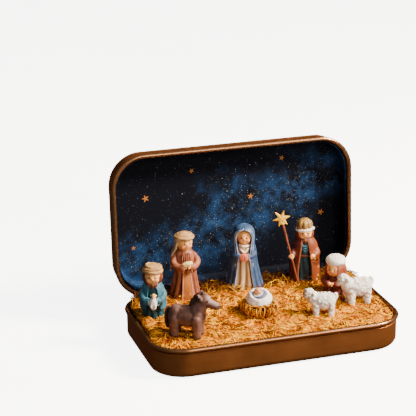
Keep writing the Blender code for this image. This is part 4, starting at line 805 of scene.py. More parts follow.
class Figure:
    """One loose figure, on its seat in the straw, its front toward its own -Y. It adds its clay pieces."""

    def __init__(self, name, place, turn):
        self.name = name
        seat = Matrix.Translation((place[0], place[1], straw_level(place[1]) - FOOT_SINK))
        self.home = seat @ Matrix.Rotation(math.radians(turn), 4, "Z")

    def add(self, name, mesh, material, slot, *nodes, turned=None):
        piece(name, mesh, material, self.name, nodes, turned or self.home)

    def face(self, centre, size, tall=1.08, ears=True, look=0.0):
        """The figure's head, eyes, brows and mouth, with the face turned a little to one side."""
        turned = self.home @ Matrix.Translation(centre) @ Matrix.Rotation(math.radians(look), 4, "Z")
        head = head_of(size, tall, ears)
        self.add(self.name + "_modelled_head", head, skin, "skin_clay", self.name + "_head", turned=turned)
        self.add(self.name + "_eyes", eyes_of(size, tall), bead, "mane_clay", turned=turned)
        lines = mouth_and_brows(size, tall)
        self.add(self.name + "_brows_and_mouth", lines, features, "hair_clay", turned=turned)


def clay(name, dark, light, accent=(0.9, 0.85, 0.8), roughness=0.52, grain=0.4, relief=0.05):
    """Painted baked clay: it drifts between two tones. Where marked as hollow it darkens: painted shade in
    folds, grooves and curls and under a sleeve, and the donkey's own darker hooves, patches and nose tip.
    Where marked
    as pale it takes its accent: a blush on faces, a pale patch on the infant's wrap, and painted light on the
    king's coat and the donkey.
    """
    made, tree, skin, spot = finish(name, Specular_IOR_Level=0.42)
    hollow = add(tree, "ShaderNodeAttribute", out=2, attribute_name="hollow")
    pale = add(tree, "ShaderNodeAttribute", out=2, attribute_name="pale")
    drift = cloud(tree, spot, 3.2 * MM, 3.0)
    fine = cloud(tree, spot, grain * MM, 4.0, 0.6)
    tone = mixed(tree, ramp(tree, drift * 0.65 + fine * 0.35, 0.3, 0.7), dark, light)
    # The accent is the thing's own colour on faces and the infant's wrap, and painted light on the coat and
    # donkey.
    tone = mixed(tree, pale * (0.75 + fine * 0.25), tone, accent)
    # Painted shade: what is marked hollow takes a much darker copy of the dark tone.
    shade = tuple(channel * 0.28 for channel in dark)
    plug(tree, skin["Base Color"], mixed(tree, hollow * 0.85, tone, shade))
    plug(tree, skin["Roughness"], roughness + (fine - 0.5) * 0.2)
    plug(tree, skin["Normal"], bump(tree, fine * 0.7 + drift * 0.6, 0.5, relief * MM))
    return made


def curve_through(points, count):
    """Evenly spaced places along a smooth line through the given ones, with all that each one carries."""
    knots = [Vector(point) for point in points]
    knots = [knots[0] * 2.0 - knots[1]] + knots + [knots[-1] * 2.0 - knots[-2]]
    line = []
    for step in range(count + 1):
        place = step / count * (len(knots) - 3)
        i = min(int(place), len(knots) - 4)
        t = place - i
        a, b, c, d = knots[i:i + 4]
        line.append((b * 2.0 + (c - a) * t + (a * 2.0 - b * 5.0 + c * 4.0 - d) * t * t
                     + (b * 3.0 - a - c * 3.0 + d) * t * t * t) * 0.5)
    return line


def marked(mesh, name, values):
    mesh.attributes.new(name, "FLOAT", "POINT").data.foreach_set("value", values)
    return mesh


def robe_line(height, hem, shoulder, depth_ratio):
    """A robe's usual line: a slightly turned-in hem, a slope to the shoulders and a round neck."""
    slope = hem - shoulder
    line = ((0.0, hem * 0.94), (0.05, hem), (0.30, shoulder + slope * 0.62), (0.60, shoulder + slope * 0.20),
            (0.84, shoulder), (0.94, shoulder * 0.86), (1.0, shoulder * 0.52))
    return [(height * share, half, half * depth_ratio) for share, half in line]


def fold_at(angle, share, folds, seed, wander=0.4):
    """How deep a fold presses in at an angle round a figure, from 0 to 1, at a share of the height."""
    drift = noise.noise(Vector((math.cos(angle) * 1.4, math.sin(angle) * 1.4, share * 1.1 + seed)))
    return (0.5 - 0.5 * math.cos(folds * (angle + drift * wander))) ** 2.0


def on_oval(wide, deep, angle, height, forward=0.0):
    """A place on an oval at one height."""
    return (wide * math.cos(angle), deep * math.sin(angle) - forward, height)


def garment(stations, folds, depth, seed, fade=1.2, steps=48, wander=0.4):
    """A robe from stations of (height, half width, half depth), with folds pressed in from its hem."""
    line = curve_through(stations, steps)
    low, high = line[0][0], line[-1][0]
    rings, fold_shades = [], []
    for height, wide, deep in line:
        share = (height - low) / (high - low)
        ring = []
        for side in range(GARMENT_SIDES):
            angle = 2.0 * math.pi * side / GARMENT_SIDES
            amount = depth * max(0.0, 1.0 - share) ** fade
            press = fold_at(angle, share, folds, seed, wander)
            ring.append(on_oval(wide - press * amount, deep - press * amount, angle, height))
            # Painted shade: the deeper a fold presses in, the darker it is marked.
            fold_shades.append(min(1.0, press * amount * FOLD_SHADE_GAIN))
        rings.append(ring)
    return marked(mesh_of(skin_over(rings)), "hollow", fold_shades)


def wrap(stations, thickness, folds, depth, seed, facing=90.0, steps=44, sides=104):
    """A sheet of clay hung round a figure, from stations of (height, half width, half depth, forward, reach).
    The reach is in degrees to each side of its facing, so it is open where that is less than half round."""
    line = curve_through(stations, steps)
    low, high = line[0][0], line[-1][0]
    work = bmesh.new()
    rows, fold_shades = [], []
    for height, wide, deep, forward, reach in line:
        share = (height - low) / (high - low)
        row = []
        for side in range(sides + 1):
            place = 2.0 * side / sides - 1.0
            angle = math.radians(facing + place * min(reach, 180.0))
            press = fold_at(angle, share, folds, seed)
            amount = press * depth * max(0.0, 1.0 - share) * min(1.0, (1.0 - abs(place)) * 8.0)
            row.append(work.verts.new(on_oval(wide - amount, deep - amount, angle, height, forward)))
            # Painted shade: the deeper a fold presses in, the darker it is marked.
            fold_shades.append(min(1.0, amount * FOLD_SHADE_GAIN))
        rows.append(row)
    for below, above in zip(rows, rows[1:]):
        for i in range(sides):
            work.faces.new((below[i], below[i + 1], above[i + 1], above[i]))
    mesh = marked(mesh_of(work), "hollow", fold_shades)
    work = bmesh.new()
    work.from_mesh(mesh)
    bmesh.ops.remove_doubles(work, verts=work.verts, dist=WELD)
    top = [edge for edge in work.edges if edge.is_boundary]
    top = [edge for edge in top if min(end.co.z for end in edge.verts) > high - WELD / 2.0]
    if line[-1][4] >= 180.0 and top:
        bmesh.ops.holes_fill(work, edges=top, sides=0)
    return thickened(mesh_of(work), thickness, even=False)


def hem_path(stations, side, inset, steps, out=0.0, facing=90.0):
    """The points along one edge of a wrap, from its hem up."""
    path = []
    for height, wide, deep, forward, reach in curve_through(stations, steps):
        angle = math.radians(facing + side * max(0.0, min(reach, 180.0) - inset))
        path.append(on_oval(wide + out, deep + out, angle, height, forward))
    return path


def lump(centre, radii, turn=(0.0, 0.0, 0.0), sides=32, rings=20):
    """A rolled ball of clay, pressed to three half sizes and turned."""
    work = bmesh.new()
    bmesh.ops.create_uvsphere(work, u_segments=sides, v_segments=rings, radius=1.0)
    lean = Euler([math.radians(angle) for angle in turn]).to_matrix().to_4x4()
    place = Matrix.Translation(centre) @ lean @ Matrix.Diagonal((*radii, 1.0))
    bmesh.ops.transform(work, matrix=place, verts=work.verts)
    return mesh_of(work)


def roll(points, steps=22, sides=16, strands=0, twist=0.0):
    """A roll of clay through points of (x, y, z, radius), round at both ends, with twisted grooves if
    strands are given."""
    line = curve_through(points, steps)
    spots = [knot.to_3d() for knot in line]
    thick = [knot[3] for knot in line]
    first, last = (spots[1] - spots[0]).normalized(), (spots[-1] - spots[-2]).normalized()
    stations = [(spots[0] - first * thick[0] * math.cos(angle), thick[0] * math.sin(angle), first)
                for angle in ROLL_ENDS]
    for i, spot in enumerate(spots):
        along = spots[min(i + 1, steps)] - spots[max(i - 1, 0)]
        stations.append((spot, thick[i], along.normalized()))
    stations += [(spots[-1] + last * thick[-1] * math.cos(angle), thick[-1] * math.sin(angle), last)
                 for angle in reversed(ROLL_ENDS)]
    side = Vector((0.0, 0.0, 1.0)) if abs(first.z) < 0.9 else Vector((1.0, 0.0, 0.0))
    rings = []
    for i, (centre, radius, along) in enumerate(stations):
        side = (side - along * side.dot(along)).normalized()
        other = along.cross(side)
        ring = []
        for corner in range(sides):
            angle = 2.0 * math.pi * corner / sides
            reach = radius * (1.0 + (0.10 * math.cos(strands * angle + twist * i) if strands else 0.0))
            ring.append(centre + (side * math.cos(angle) + other * math.sin(angle)) * reach)
        rings.append(ring)
    return mesh_of(skin_over(rings))


def hoop(centre, reach_x, reach_y, thick, tilt=0.0, **settings):
    """A roll closed to a ring round a head or a wrist, its ends hidden in each other at the back."""
    lean = Matrix.Rotation(math.radians(tilt), 3, "Y")
    points = []
    for step in range(25):
        angle = math.pi / 2.0 + 2.0 * math.pi * step / 24.0
        spot = Vector(centre) + lean @ Vector((reach_x * math.cos(angle), reach_y * math.sin(angle), 0.0))
        points.append((*spot, thick))
    return roll(points, steps=96, **settings)


def joined(meshes):
    work = bmesh.new()
    for mesh in meshes:
        work.from_mesh(mesh)
    return mesh_of(work)


def fused(meshes, grain, rub=6):
    """Lumps pressed into one body, with the seams between them rubbed smooth."""
    source = bare(joined(meshes))
    melt = source.modifiers.new("melt", "REMESH")
    melt.mode = "VOXEL"
    melt.voxel_size = grain
    smooth = source.modifiers.new("rub", "SMOOTH")
    smooth.factor = 0.5
    smooth.iterations = rub
    return settled(source)


def pressed(mesh, depth_at, **marks):
    """Move each point along its normal by a depth in millimetres, and mark it by functions of its place."""
    normals = [vertex.normal.copy() for vertex in mesh.vertices]
    depths = [depth_at(vertex.co) for vertex in mesh.vertices]
    for name, value_at in marks.items():
        marked(mesh, name, [value_at(vertex.co) for vertex in mesh.vertices])
    for vertex, normal, depth in zip(mesh.vertices, normals, depths):
        vertex.co += normal * depth
    return mesh


def eased(value, low, high):
    share = min(1.0, max(0.0, (value - low) / (high - low)))
    return share * share * (3.0 - 2.0 * share)


def ball(size, place, shares):
    """A lump whose place and half sizes are shares of a figure's or a head's size."""
    return lump([share * size for share in place], [share * size for share in shares])


def head_of(size, tall, ears=True):
    """A head with a soft nose, full cheeks and small ears, and its flush marked on the cheeks."""
    lumps = [ball(size, (0.0, 0.0, 0.0), (0.95, 0.95, tall)),
             ball(size, (0.0, -0.93, -0.06), (0.13, 0.15, 0.16)),
             ball(size, (0.0, -0.12, -0.9), (0.42, 0.42, 0.5))]
    for side in (-1.0, 1.0):
        lumps.append(ball(size, (side * 0.42, -0.55, -0.30), (0.32, 0.32, 0.32)))
        if ears:
            lumps.append(ball(size, (side * 0.94, 0.0, -0.02), (0.12, 0.17, 0.24)))
    head = fused(lumps, size * 0.042, 5)
    cheeks = [Vector((side * size * 0.50, -size * 0.82, -size * 0.26)) for side in (-1.0, 1.0)]
    away = [min((vertex.co - cheek).length for cheek in cheeks) for vertex in head.vertices]
    return marked(head, "pale", [0.75 * (1.0 - eased(reach, size * 0.08, size * 0.42)) for reach in away])


def on_face(size, x, z, tall, out=0.0):
    """A place on the front of a head, from its offsets across and up as shares of the head's size."""
    deep = math.sqrt(max(0.0, 1.0 - (x / 0.95) ** 2 - (z / tall) ** 2))
    return Vector((x * size, -size * 0.95 * deep - out, z * size))


def line_on_face(size, places, tall, out, thick, steps=8):
    """A thin pressed roll through places on a face."""
    return roll([(*on_face(size, x, z, tall, out), thick) for x, z in places], steps, 8)


def eyes_of(size, tall):
    """Two small round eyes, pressed in as dark beads."""
    shape = (size * 0.10, size * 0.07, size * 0.12)
    return joined([lump(on_face(size, x, 0.10, tall), shape) for x in (-0.34, 0.34)])


def mouth_and_brows(size, tall):
    """A faint smile and two calm brows, each a thin pressed roll."""
    smile = ((-0.17, -0.36), (0.0, -0.42), (0.17, -0.36))
    brows = [((side * 0.22, 0.34), (side * 0.34, 0.39), (side * 0.46, 0.35)) for side in (-1.0, 1.0)]
    return joined([line_on_face(size, places, tall, 0.02, size * 0.032, 10) for places in (smile, *brows)])


def hair_mass(centre, radii, window_z, window, strands, seed):
    """Hair and beard in one lump that frames the face, combed in grooves that run round the opening, with
    painted shade marked in the grooves.
    """
    mesh = lump((0.0, 0.0, 0.0), (1.0, 1.0, 1.0), sides=120, rings=80)
    combed = []
    for vertex in mesh.vertices:
        aim = vertex.co.normalized()
        across, up = aim.x / window[0], (aim.z - window_z) / window[1]
        around = math.hypot(across, up)
        front = eased(-aim.y, -0.05, 0.35)
        shut = 1.0 - 0.34 * front * (1.0 - eased(around, 0.80, 1.08))
        wobble = noise.noise(aim * 2.2 + Vector((seed, 0.0, 0.0)))
        groove = math.cos(strands * (math.acos(max(-1.0, min(1.0, -aim.y))) + wobble * 0.10))
        lock = noise.noise(Vector((aim.x * 3.0, aim.y * 3.0, aim.z * 3.0 + seed)))
        reach = shut * (1.0 + 0.022 * groove + 0.05 * lock)
        # Painted shade: the grooves are marked darker.
        combed.append(eased(-groove, 0.2, 1.0) * 0.8)
        vertex.co = Vector(centre) + Vector((aim.x * radii[0], aim.y * radii[1], aim.z * radii[2])) * reach
    return marked(mesh, "hollow", combed)


def hand_of(centre, size, fingers_to):
    """A small mitten of a hand, with four finger lumps."""
    x, y, z = centre
    lumps = [lump(centre, (size, size * 0.85, size * 0.9))]
    for finger in range(4):
        up = (finger - 1.5) * size * 0.42
        lumps.append(roll([(x + fingers_to[0] * size * 0.4, y - size * 0.55, z + up, size * 0.27),
                           (x + fingers_to[0] * size, y + fingers_to[1] * size - size * 0.5,
                            z + up + fingers_to[2] * size * 0.4, size * 0.24)], 6, 10))
    return fused(lumps, size * 0.09, 3)


def both_sides(points):
    """A roll's points for a figure's two sides."""
    return [[(side * x, y, z, thick) for x, y, z, thick in points] for side in (-1.0, 1.0)]


def uneven(mesh, depth, tightness):
    """The slow unevenness of clay rolled by hand."""
    return pressed(mesh, lambda spot: depth * noise.noise(spot * tightness))


def sleeve_pair(*rolls):
    """Bent sleeves and the lobes that hang under them."""
    arms = [roll(path) for points in rolls for path in both_sides(points)]
    return uneven(fused(arms, 0.16), 0.10, 1.1)


def cuff_pair(centre, reach, thick=0.2):
    """A thin roll round the mouth of each sleeve."""
    turns = [2.0 * math.pi * k / 16.0 for k in range(17)]
    rim = [(centre[0] + reach[0] * math.cos(a), centre[1] + reach[1] * math.cos(a),
            centre[2] + reach[2] * math.sin(a), thick) for a in turns]
    return joined([roll(path, 48, 8) for path in both_sides(rim)])


def hand_pair(centre, size, fingers_to):
    """Two mitten hands that meet in front of a figure."""
    x, y, z = centre
    across, ahead, up = fingers_to
    return joined([hand_of((side * x, y, z), size, (-side * across, ahead, up)) for side in (-1.0, 1.0)])


skin = clay("skin", (0.82, 0.33, 0.095), (0.98, 0.52, 0.18), accent=(0.92, 0.27, 0.10), roughness=0.45,
            relief=0.02)
features = clay("brows_and_mouth", (0.16, 0.035, 0.015), (0.24, 0.06, 0.025))
bead = clay("dark_bead", (0.012, 0.007, 0.006), (0.02, 0.012, 0.01), roughness=0.2, relief=0.0)
brown_hair = clay("reddish_brown_hair", (0.095, 0.020, 0.007), (0.22, 0.060, 0.022))
dark_teal = clay("dark_teal", (0.004, 0.030, 0.045), (0.012, 0.075, 0.10))
cape_blue = clay("cape_blue", (0.016, 0.085, 0.135), (0.045, 0.17, 0.24))
cuff_blue = clay("cuff_blue", (0.20, 0.36, 0.44), (0.34, 0.50, 0.58))
cream = clay("cream", (0.31, 0.145, 0.044), (0.60, 0.345, 0.14))
wool = clay("white_wool", (0.68, 0.63, 0.57), (0.92, 0.89, 0.85), roughness=0.8, grain=0.25, relief=0.10)
lamb_tan = clay("lamb_tan", (0.60, 0.33, 0.10), (0.80, 0.52, 0.22))


def woolly(spot, size, height):
    """Rounded curls of wool, as a height over a place."""
    near = noise.voronoi(spot / size)[0][0]
    return height * (1.0 - 1.5 * near) + 0.05 * noise.noise(spot * 3.0)


shepherd = Figure("shepherd", SHEPHERD_AT, SHEPHERD_TURN)
size = SHEPHERD_HEAD
face_at = (0.0, -0.25 * size, SHEPHERD_HEIGHT + 0.86 * size)
gown = garment(robe_line(SHEPHERD_HEIGHT, 4.2, 3.1, 0.82), 9, 0.5, 1.0)
shepherd.add("shepherd_folded_robe", gown, dark_teal, "teal_clay", "shepherd_robe")
cape_line = [(4.0, 4.5, 3.8, 0.0, 144.0), (4.9, 4.6, 3.9, 0.0, 146.0), (8.1, 4.25, 3.65, 0.0, 150.0),
             (11.4, 3.8, 3.3, 0.0, 156.0), (12.9, 3.0, 2.7, 0.0, 164.0), (13.5, 2.3, 2.1, 0.0, 170.0)]
shepherd.add("shepherd_short_cape", wrap(cape_line, 0.7, 9, 0.5, 2.0), cape_blue, "blue_clay",
             "shepherd_cloak")
sleeve = sleeve_pair(
    [(3.0, 0.2, 11.1, 1.1), (3.9, -1.6, 9.4, 1.25), (3.1, -3.1, 8.1, 1.2), (1.9, -3.75, 7.6, 1.3)],
    [(3.3, -2.2, 8.4, 1.0), (3.2, -2.9, 6.9, 0.85), (2.9, -3.1, 5.5, 0.4)])
shepherd.add("shepherd_bent_sleeves", sleeve, cape_blue, "blue_clay", "shepherd_sleeves")
cuffs = cuff_pair((2.05, -3.7, 7.4), (0.5, 1.15, 1.4))
shepherd.add("shepherd_cuffs", cuffs, cuff_blue, "blue_clay")


def chin_tufts(size, height):
    """The end of a beard: five short rolls side by side under the chin."""
    tufts = []
    for k in (-2.0, -1.0, 0.0, 1.0, 2.0):
        back = 0.07 * abs(k)
        tip = height - (1.30 - 0.05 * abs(k)) * size
        tufts.append(roll([(0.22 * k * size, (back - 0.74) * size, height - 0.60 * size, 0.17 * size),
                           (0.22 * k * size, (back - 0.95) * size, height - 0.92 * size, 0.19 * size),
                           (0.15 * k * size, (back - 0.88) * size, tip, 0.09 * size)], 14, 12))
    return fused(tufts, 0.09, 2)


shepherd.add("shepherd_hands", hand_pair((1.25, -4.25, 7.2), 0.9, (0.9, -0.5, 0.2)), skin, "skin_clay")
shepherd.face(face_at, size)
beard = [hair_mass((0.0, 0.12 * size, face_at[2] - 0.08 * size), (1.2 * size, 1.12 * size, 1.2 * size), 0.22,
                   (0.61, 0.53), 26.0, 3.0),
         chin_tufts(size, face_at[2])]
shepherd.add("shepherd_combed_beard", joined(beard), brown_hair, "hair_clay", "shepherd_hair_and_beard")
brim = face_at[2] + 0.66 * size
coils = [hoop((0.0, -0.1, brim + 0.1), 3.15, 3.1, 0.72, 4.0, strands=5, twist=0.35),
         hoop((0.0, 0.0, brim + 1.0), 2.95, 2.9, 0.66, -5.0, strands=5, twist=0.35),
         hoop((0.0, 0.1, brim + 1.65), 2.2, 2.15, 0.62, 5.0, strands=5, twist=0.35),
         lump((0.0, 0.0, brim + 1.2), (2.5, 2.45, 1.35))]
shepherd.add("shepherd_coiled_turban", joined(coils), cream, "cream_clay", "shepherd_turban")
held = [lump((0.1, -4.78, 6.9), (1.4, 1.25, 2.5), (8.0, 0.0, 0.0)),
        lump((0.3, -4.93, 9.0), (0.85, 0.85, 1.1))]
held += [roll([(0.1 + x, -5.53, 7.6, 0.36), (0.1 + x * 1.3, -5.93, 6.4, 0.32), (0.1 + x, -5.73, 5.5, 0.3)])
         for x in (-0.5, 0.5)]
held = pressed(fused(held, 0.11, 3), lambda spot: woolly(spot, 0.75, 0.12))
shepherd.add("carried_lamb_wool", held, wool, "white_clay", "carried_lamb")
held_head = [lump((0.38, -5.18, 10.1), (0.85, 0.9, 0.9)), lump((0.38, -5.83, 9.8), (0.45, 0.5, 0.42)),
             lump((-0.5, -4.93, 10.2), (0.5, 0.25, 0.28), (0.0, -20.0, 0.0)),
             lump((1.25, -4.93, 10.2), (0.5, 0.25, 0.28), (0.0, 20.0, 0.0))]
shepherd.add("carried_lamb_head", fused(held_head, 0.08, 3), lamb_tan, "white_clay")
held_eyes = joined([lump((0.38 + x, -5.88, 10.2), (0.11, 0.11, 0.13)) for x in (-0.32, 0.32)])
shepherd.add("carried_lamb_eyes", held_eyes, bead, "mane_clay")


# Traveller. The tall figure beside the shepherd: a rose-brown robe with a pleated chest, wide cuffs, an ochre
# panel down its front, a cream cap with a rolled brim over a long side veil, and a pale bundle in both hands.
TRAVELLER_AT = (-0.2458 * TIN_LENGTH, 0.35 * TIN_DEPTH)
TRAVELLER_TURN = -4.0
TRAVELLER_HEIGHT = 19.4
TRAVELLER_HEAD = 3.0

rose = clay("rose_brown", (0.18, 0.045, 0.019), (0.36, 0.115, 0.054))
rose_edge = clay("pinkish_edge", (0.42, 0.155, 0.085), (0.60, 0.26, 0.15))
ochre = clay("ochre", (0.26, 0.070, 0.008), (0.42, 0.142, 0.020))
veil_cream = clay("veil_cream", (0.34, 0.21, 0.11), (0.56, 0.40, 0.23))
bundle_cream = clay("bundle_cream", (0.74, 0.52, 0.17), (0.92, 0.76, 0.36))

traveller = Figure("traveller", TRAVELLER_AT, TRAVELLER_TURN)
size = TRAVELLER_HEAD
face_at = (0.0, -0.2 * size, TRAVELLER_HEIGHT + 0.84 * size)
gown = garment(robe_line(TRAVELLER_HEIGHT, 5.9, 3.9, 0.8), 10, 0.75, 4.0, fade=1.0)
traveller.add("traveller_folded_robe", gown, rose, "rose_brown_clay", "traveller_robe")
pleats = []
for x in (-1.6, -0.8, 0.0, 0.8, 1.6):
    pleat = [(x * 0.7, -3.0 + abs(x) * 0.10, 18.4, 0.25), (x * 0.95, -3.35 + abs(x) * 0.16, 16.6, 0.34),
             (x, -3.45 + abs(x) * 0.2, 14.9, 0.3)]
    pleats.append(roll(pleat, 14, 10))
traveller.add("traveller_chest_pleats", joined(pleats), rose, "rose_brown_clay")
panel_line = [(0.5, 5.85, 4.9, 0.0, 20.0), (2.0, 5.9, 4.95, 0.0, 19.0), (6.0, 5.45, 4.5, 0.0, 18.0),
              (9.5, 4.75, 3.95, 0.0, 17.0), (12.3, 4.35, 3.65, 0.0, 15.0)]
panel = wrap(panel_line, 0.6, 0, 0.0, 5.0, facing=-90.0, steps=30, sides=24)
traveller.add("traveller_ochre_panel", panel, ochre, "ochre_clay", "traveller_front_panel")
ridges = [roll([(*spot, 0.30) for spot in hem_path(panel_line, side, 0.0, 12, 0.15, -90.0)], 30, 10)
          for side in (-1, 1)]
traveller.add("traveller_panel_ridges", joined(ridges), rose_edge, "rose_brown_clay")
sleeve = sleeve_pair(
    [(3.5, 0.2, 16.7, 1.2), (4.5, -1.7, 14.7, 1.3), (3.3, -3.5, 13.5, 1.25), (2.0, -4.2, 13.4, 1.5)],
    [(3.2, -2.9, 13.2, 1.1), (3.0, -3.5, 12.1, 0.8), (2.7, -3.6, 11.2, 0.35)])
traveller.add("traveller_bent_sleeves", sleeve, rose, "rose_brown_clay", "traveller_sleeves")
cuffs = cuff_pair((1.95, -4.3, 13.1), (0.45, 1.3, 1.6), 0.22)
traveller.add("traveller_cuffs", cuffs, rose_edge, "rose_brown_clay")
traveller.add("traveller_hands", hand_pair((1.2, -4.75, 13.6), 0.85, (0.9, -0.4, 0.5)), skin, "skin_clay")
load = lump((0.0, -5.0, 14.9), (2.1, 1.1, 1.0), (0.0, -12.0, 0.0), 48, 32)
traveller.add("traveller_tied_bundle", uneven(load, 0.14, 1.6), bundle_cream, "cream_clay",
              "traveller_bundle")
tie = [roll([(0.1, -4.9, 12.9, 0.38), (-0.15, -5.1, 12.0, 0.34), (-0.3, -4.9, 11.0, 0.3)], 12, 10),
       lump((0.15, -5.1, 12.9), (0.6, 0.45, 0.45))]
traveller.add("traveller_knot", joined(tie), brown_hair, "hair_clay")
traveller.face(face_at, size, tall=1.1, look=12.0)
veil_line = [(10.9, 5.3, 4.7, -0.4, 62.0), (12.5, 5.2, 4.7, -0.4, 64.0), (17.5, 4.7, 4.2, -0.3, 72.0),
             (20.0, 3.75, 3.9, 0.0, 84.0), (22.2, 3.6, 3.8, 0.0, 92.0), (24.0, 3.5, 3.7, 0.0, 120.0)]
veil = wrap(veil_line, 0.6, 9, 0.4, 6.0, facing=118.0)
traveller.add("traveller_long_veil", veil, veil_cream, "cream_clay", "traveller_veil")
dome = [hoop((0.0, -0.05, face_at[2] + 2.2), 3.1, 3.1, 0.72, 2.0, strands=4, twist=0.3),
        lump((0.0, 0.0, face_at[2] + 2.1), (3.15, 3.15, 2.0)),
        hoop((0.0, 0.0, face_at[2] + 3.1), 2.55, 2.55, 0.42, -3.0, strands=4, twist=0.3)]
traveller.add("traveller_rolled_cap", joined(dome), cream, "cream_clay", "traveller_headband")


# Mother. She stands in the middle in a cream dress, under a long blue-grey mantle drawn up as a hood. Pale
# double lines edge the mantle, a yellow fringe shows under the hood, and her coral hands are folded.
MOTHER_AT = (0.0021 * TIN_LENGTH, 0.3607 * TIN_DEPTH)
MOTHER_TURN = -19.0
MOTHER_HEIGHT = 18.7
MOTHER_HEAD = 2.95
MOTHER_HOOD_TOP = 25.1

mantle_blue = clay("mantle_blue", (0.016, 0.037, 0.098), (0.050, 0.106, 0.225))
periwinkle = clay("periwinkle_edge", (0.20, 0.27, 0.44), (0.36, 0.44, 0.60))
dress_cream = clay("dress_cream", (0.88, 0.53, 0.23), (0.99, 0.78, 0.46))
collar_white = clay("collar_white", (0.66, 0.47, 0.38), (0.88, 0.72, 0.62))
coral = clay("coral", (0.58, 0.105, 0.055), (0.80, 0.22, 0.13))
yellow_hair = clay("yellow_hair", (0.66, 0.32, 0.035), (0.90, 0.56, 0.10))

mother = Figure("mother", MOTHER_AT, MOTHER_TURN)
size = MOTHER_HEAD
face_at = (0.0, -0.2 * size, MOTHER_HEIGHT + 0.88 * size)
gown = garment(robe_line(MOTHER_HEIGHT, 5.3, 3.2, 0.78), 11, 1.0, 7.0, fade=0.6, wander=0.25)
mother.add("mother_folded_dress", gown, dress_cream, "cream_clay", "mother_dress")
mantle_line = [(0.0, 6.95, 4.6, 0.0, 146.0), (1.0, 7.15, 4.8, 0.0, 147.0), (6.5, 5.75, 4.1, 0.0, 149.0),
               (11.4, 4.75, 3.8, 0.0, 150.0), (15.6, 4.4, 3.75, 0.0, 148.0), (18.2, 3.75, 3.75, 0.0, 134.0),
               (21.2, 3.75, 3.95, 0.0, 127.0), (23.2, 3.6, 3.75, 0.0, 136.0), (24.2, 3.2, 3.3, 0.0, 150.0),
               (24.8, 2.75, 2.85, 0.0, 172.0), (25.55, 1.5, 1.6, 0.0, 180.0), (25.85, 0.25, 0.25, 0.0, 180.0)]
mantle = wrap(mantle_line, 0.85, 12, 0.75, 8.0, steps=70)
mother.add("mother_hooded_mantle", mantle, mantle_blue, "mantle_clay", "mother_mantle")
edges = []
for inset, out, thick in ((0.0, 0.12, 0.27), (10.0, 0.40, 0.15)):
    left, right = [[spot for spot in hem_path(mantle_line, side, inset, 60, out)
                    if inset <= spot[2] < MOTHER_HOOD_TOP] for side in (-1, 1)]
    edges.append(roll([(*spot, thick) for spot in left + right[::-1]], 150, 10))
mother.add("mother_mantle_edges", joined(edges), periwinkle, "mantle_clay")
for side, word in ((-1.0, "right"), (1.0, "left")):
    arm = [roll([(side * x, y, z, thick) for x, y, z, thick in points]) for points in
           ([(3.2, 0.1, 15.3, 1.2), (3.6, -1.9, 14.7, 1.25), (2.5, -3.0, 14.2, 1.15), (1.7, -3.4, 14.1, 1.2)],
            [(2.6, -2.7, 13.6, 0.95), (2.7, -3.1, 12.2, 0.8), (2.7, -3.0, 10.7, 0.35)])]
    arm = uneven(fused(arm, 0.15), 0.10, 1.1)
    mother.add("mother_" + word + "_bent_sleeve", arm, mantle_blue, "mantle_clay",
               "mother_" + word + "_sleeve")
    hanging = roll([(side * 1.7, -3.6, 15.4, 0.18), (side * 2.0, -4.45, 14.0, 0.2),
                    (side * 2.3, -4.0, 12.3, 0.22), (side * 2.7, -3.45, 10.7, 0.18)], 24, 10)
    mother.add("mother_" + word + "_sleeve_edge", hanging, periwinkle, "mantle_clay")
fingers = [lump((side * 0.72, -3.85, 13.9), (1.15, 1.15, 1.55), (12.0, side * 10.0, 0.0))
           for side in (-1.0, 1.0)]
for number in range(4):
    for side in (-1.0, 1.0):
        reach = 0.42 + number * 0.34
        finger = [(side * reach, -4.75 + number * 0.14, 13.2, 0.27),
                  (side * (reach - 0.12), -4.75 + number * 0.12, 14.9, 0.29),
                  (side * (reach - 0.26), -4.45 + number * 0.1, 15.7 - number * 0.22, 0.25)]
        fingers.append(roll(finger, 8, 10))
mother.add("mother_folded_hands", fused(fingers, 0.085, 2), coral, "coral_clay", "mother_hands")
collar = [hoop((0.0, -0.85, 18.1), 2.0, 2.05, 0.5, 0.0),
          roll([(-1.5, -2.7, 17.1, 0.35), (0.0, -3.2, 15.8, 0.5), (1.5, -2.7, 17.1, 0.35)], 20, 12)]
mother.add("mother_collar", joined(collar), collar_white, "cream_clay")
mother.face(face_at, size, tall=1.1, ears=False, look=3.0)
fringe = hair_mass((0.0, 0.05, face_at[2] + 0.12 * size), (3.3, 3.3, 3.6), -0.24, (0.78, 0.84), 22.0, 5.0)
mother.add("mother_parted_hair", fringe, yellow_hair, "yellow_hair_clay", "mother_hair")


# King. He wears a dark teal tunic under an open terracotta coat and a ribbed gilded cap with a white band,
# and holds a thin clay staff that carries a thick six-pointed star.
KING_AT = (0.2552 * TIN_LENGTH, 0.3518 * TIN_DEPTH)
KING_TURN = -16.0
KING_HEIGHT = 17.9
KING_HEAD = 3.05
HAND_HEIGHT = 11.81
STAFF_LEAN = math.radians(14.0)
STAFF_LENGTH = 25.8
STAR_RADIUS = 3.5
STAR_THICKNESS = 1.1

# The terracotta's accent is painted light, for the coat's lit side.
terracotta = clay("terracotta", (0.050, 0.007, 0.003), (0.12, 0.020, 0.005), accent=(0.21, 0.041, 0.004))
lapel_rose = clay("lapel_rose", (0.17, 0.036, 0.014), (0.30, 0.080, 0.032))
gilt = clay("gilt_brown", (0.20, 0.10, 0.026), (0.50, 0.30, 0.085), roughness=0.28)
gold_trim = clay("gold_trim", (0.80, 0.42, 0.04), (0.95, 0.62, 0.11), roughness=0.4)
staff_brown = clay("staff_brown", (0.14, 0.030, 0.012), (0.25, 0.062, 0.024))
star_ochre = clay("star_ochre", (0.96, 0.42, 0.012), (1.0, 0.60, 0.05), roughness=0.42)

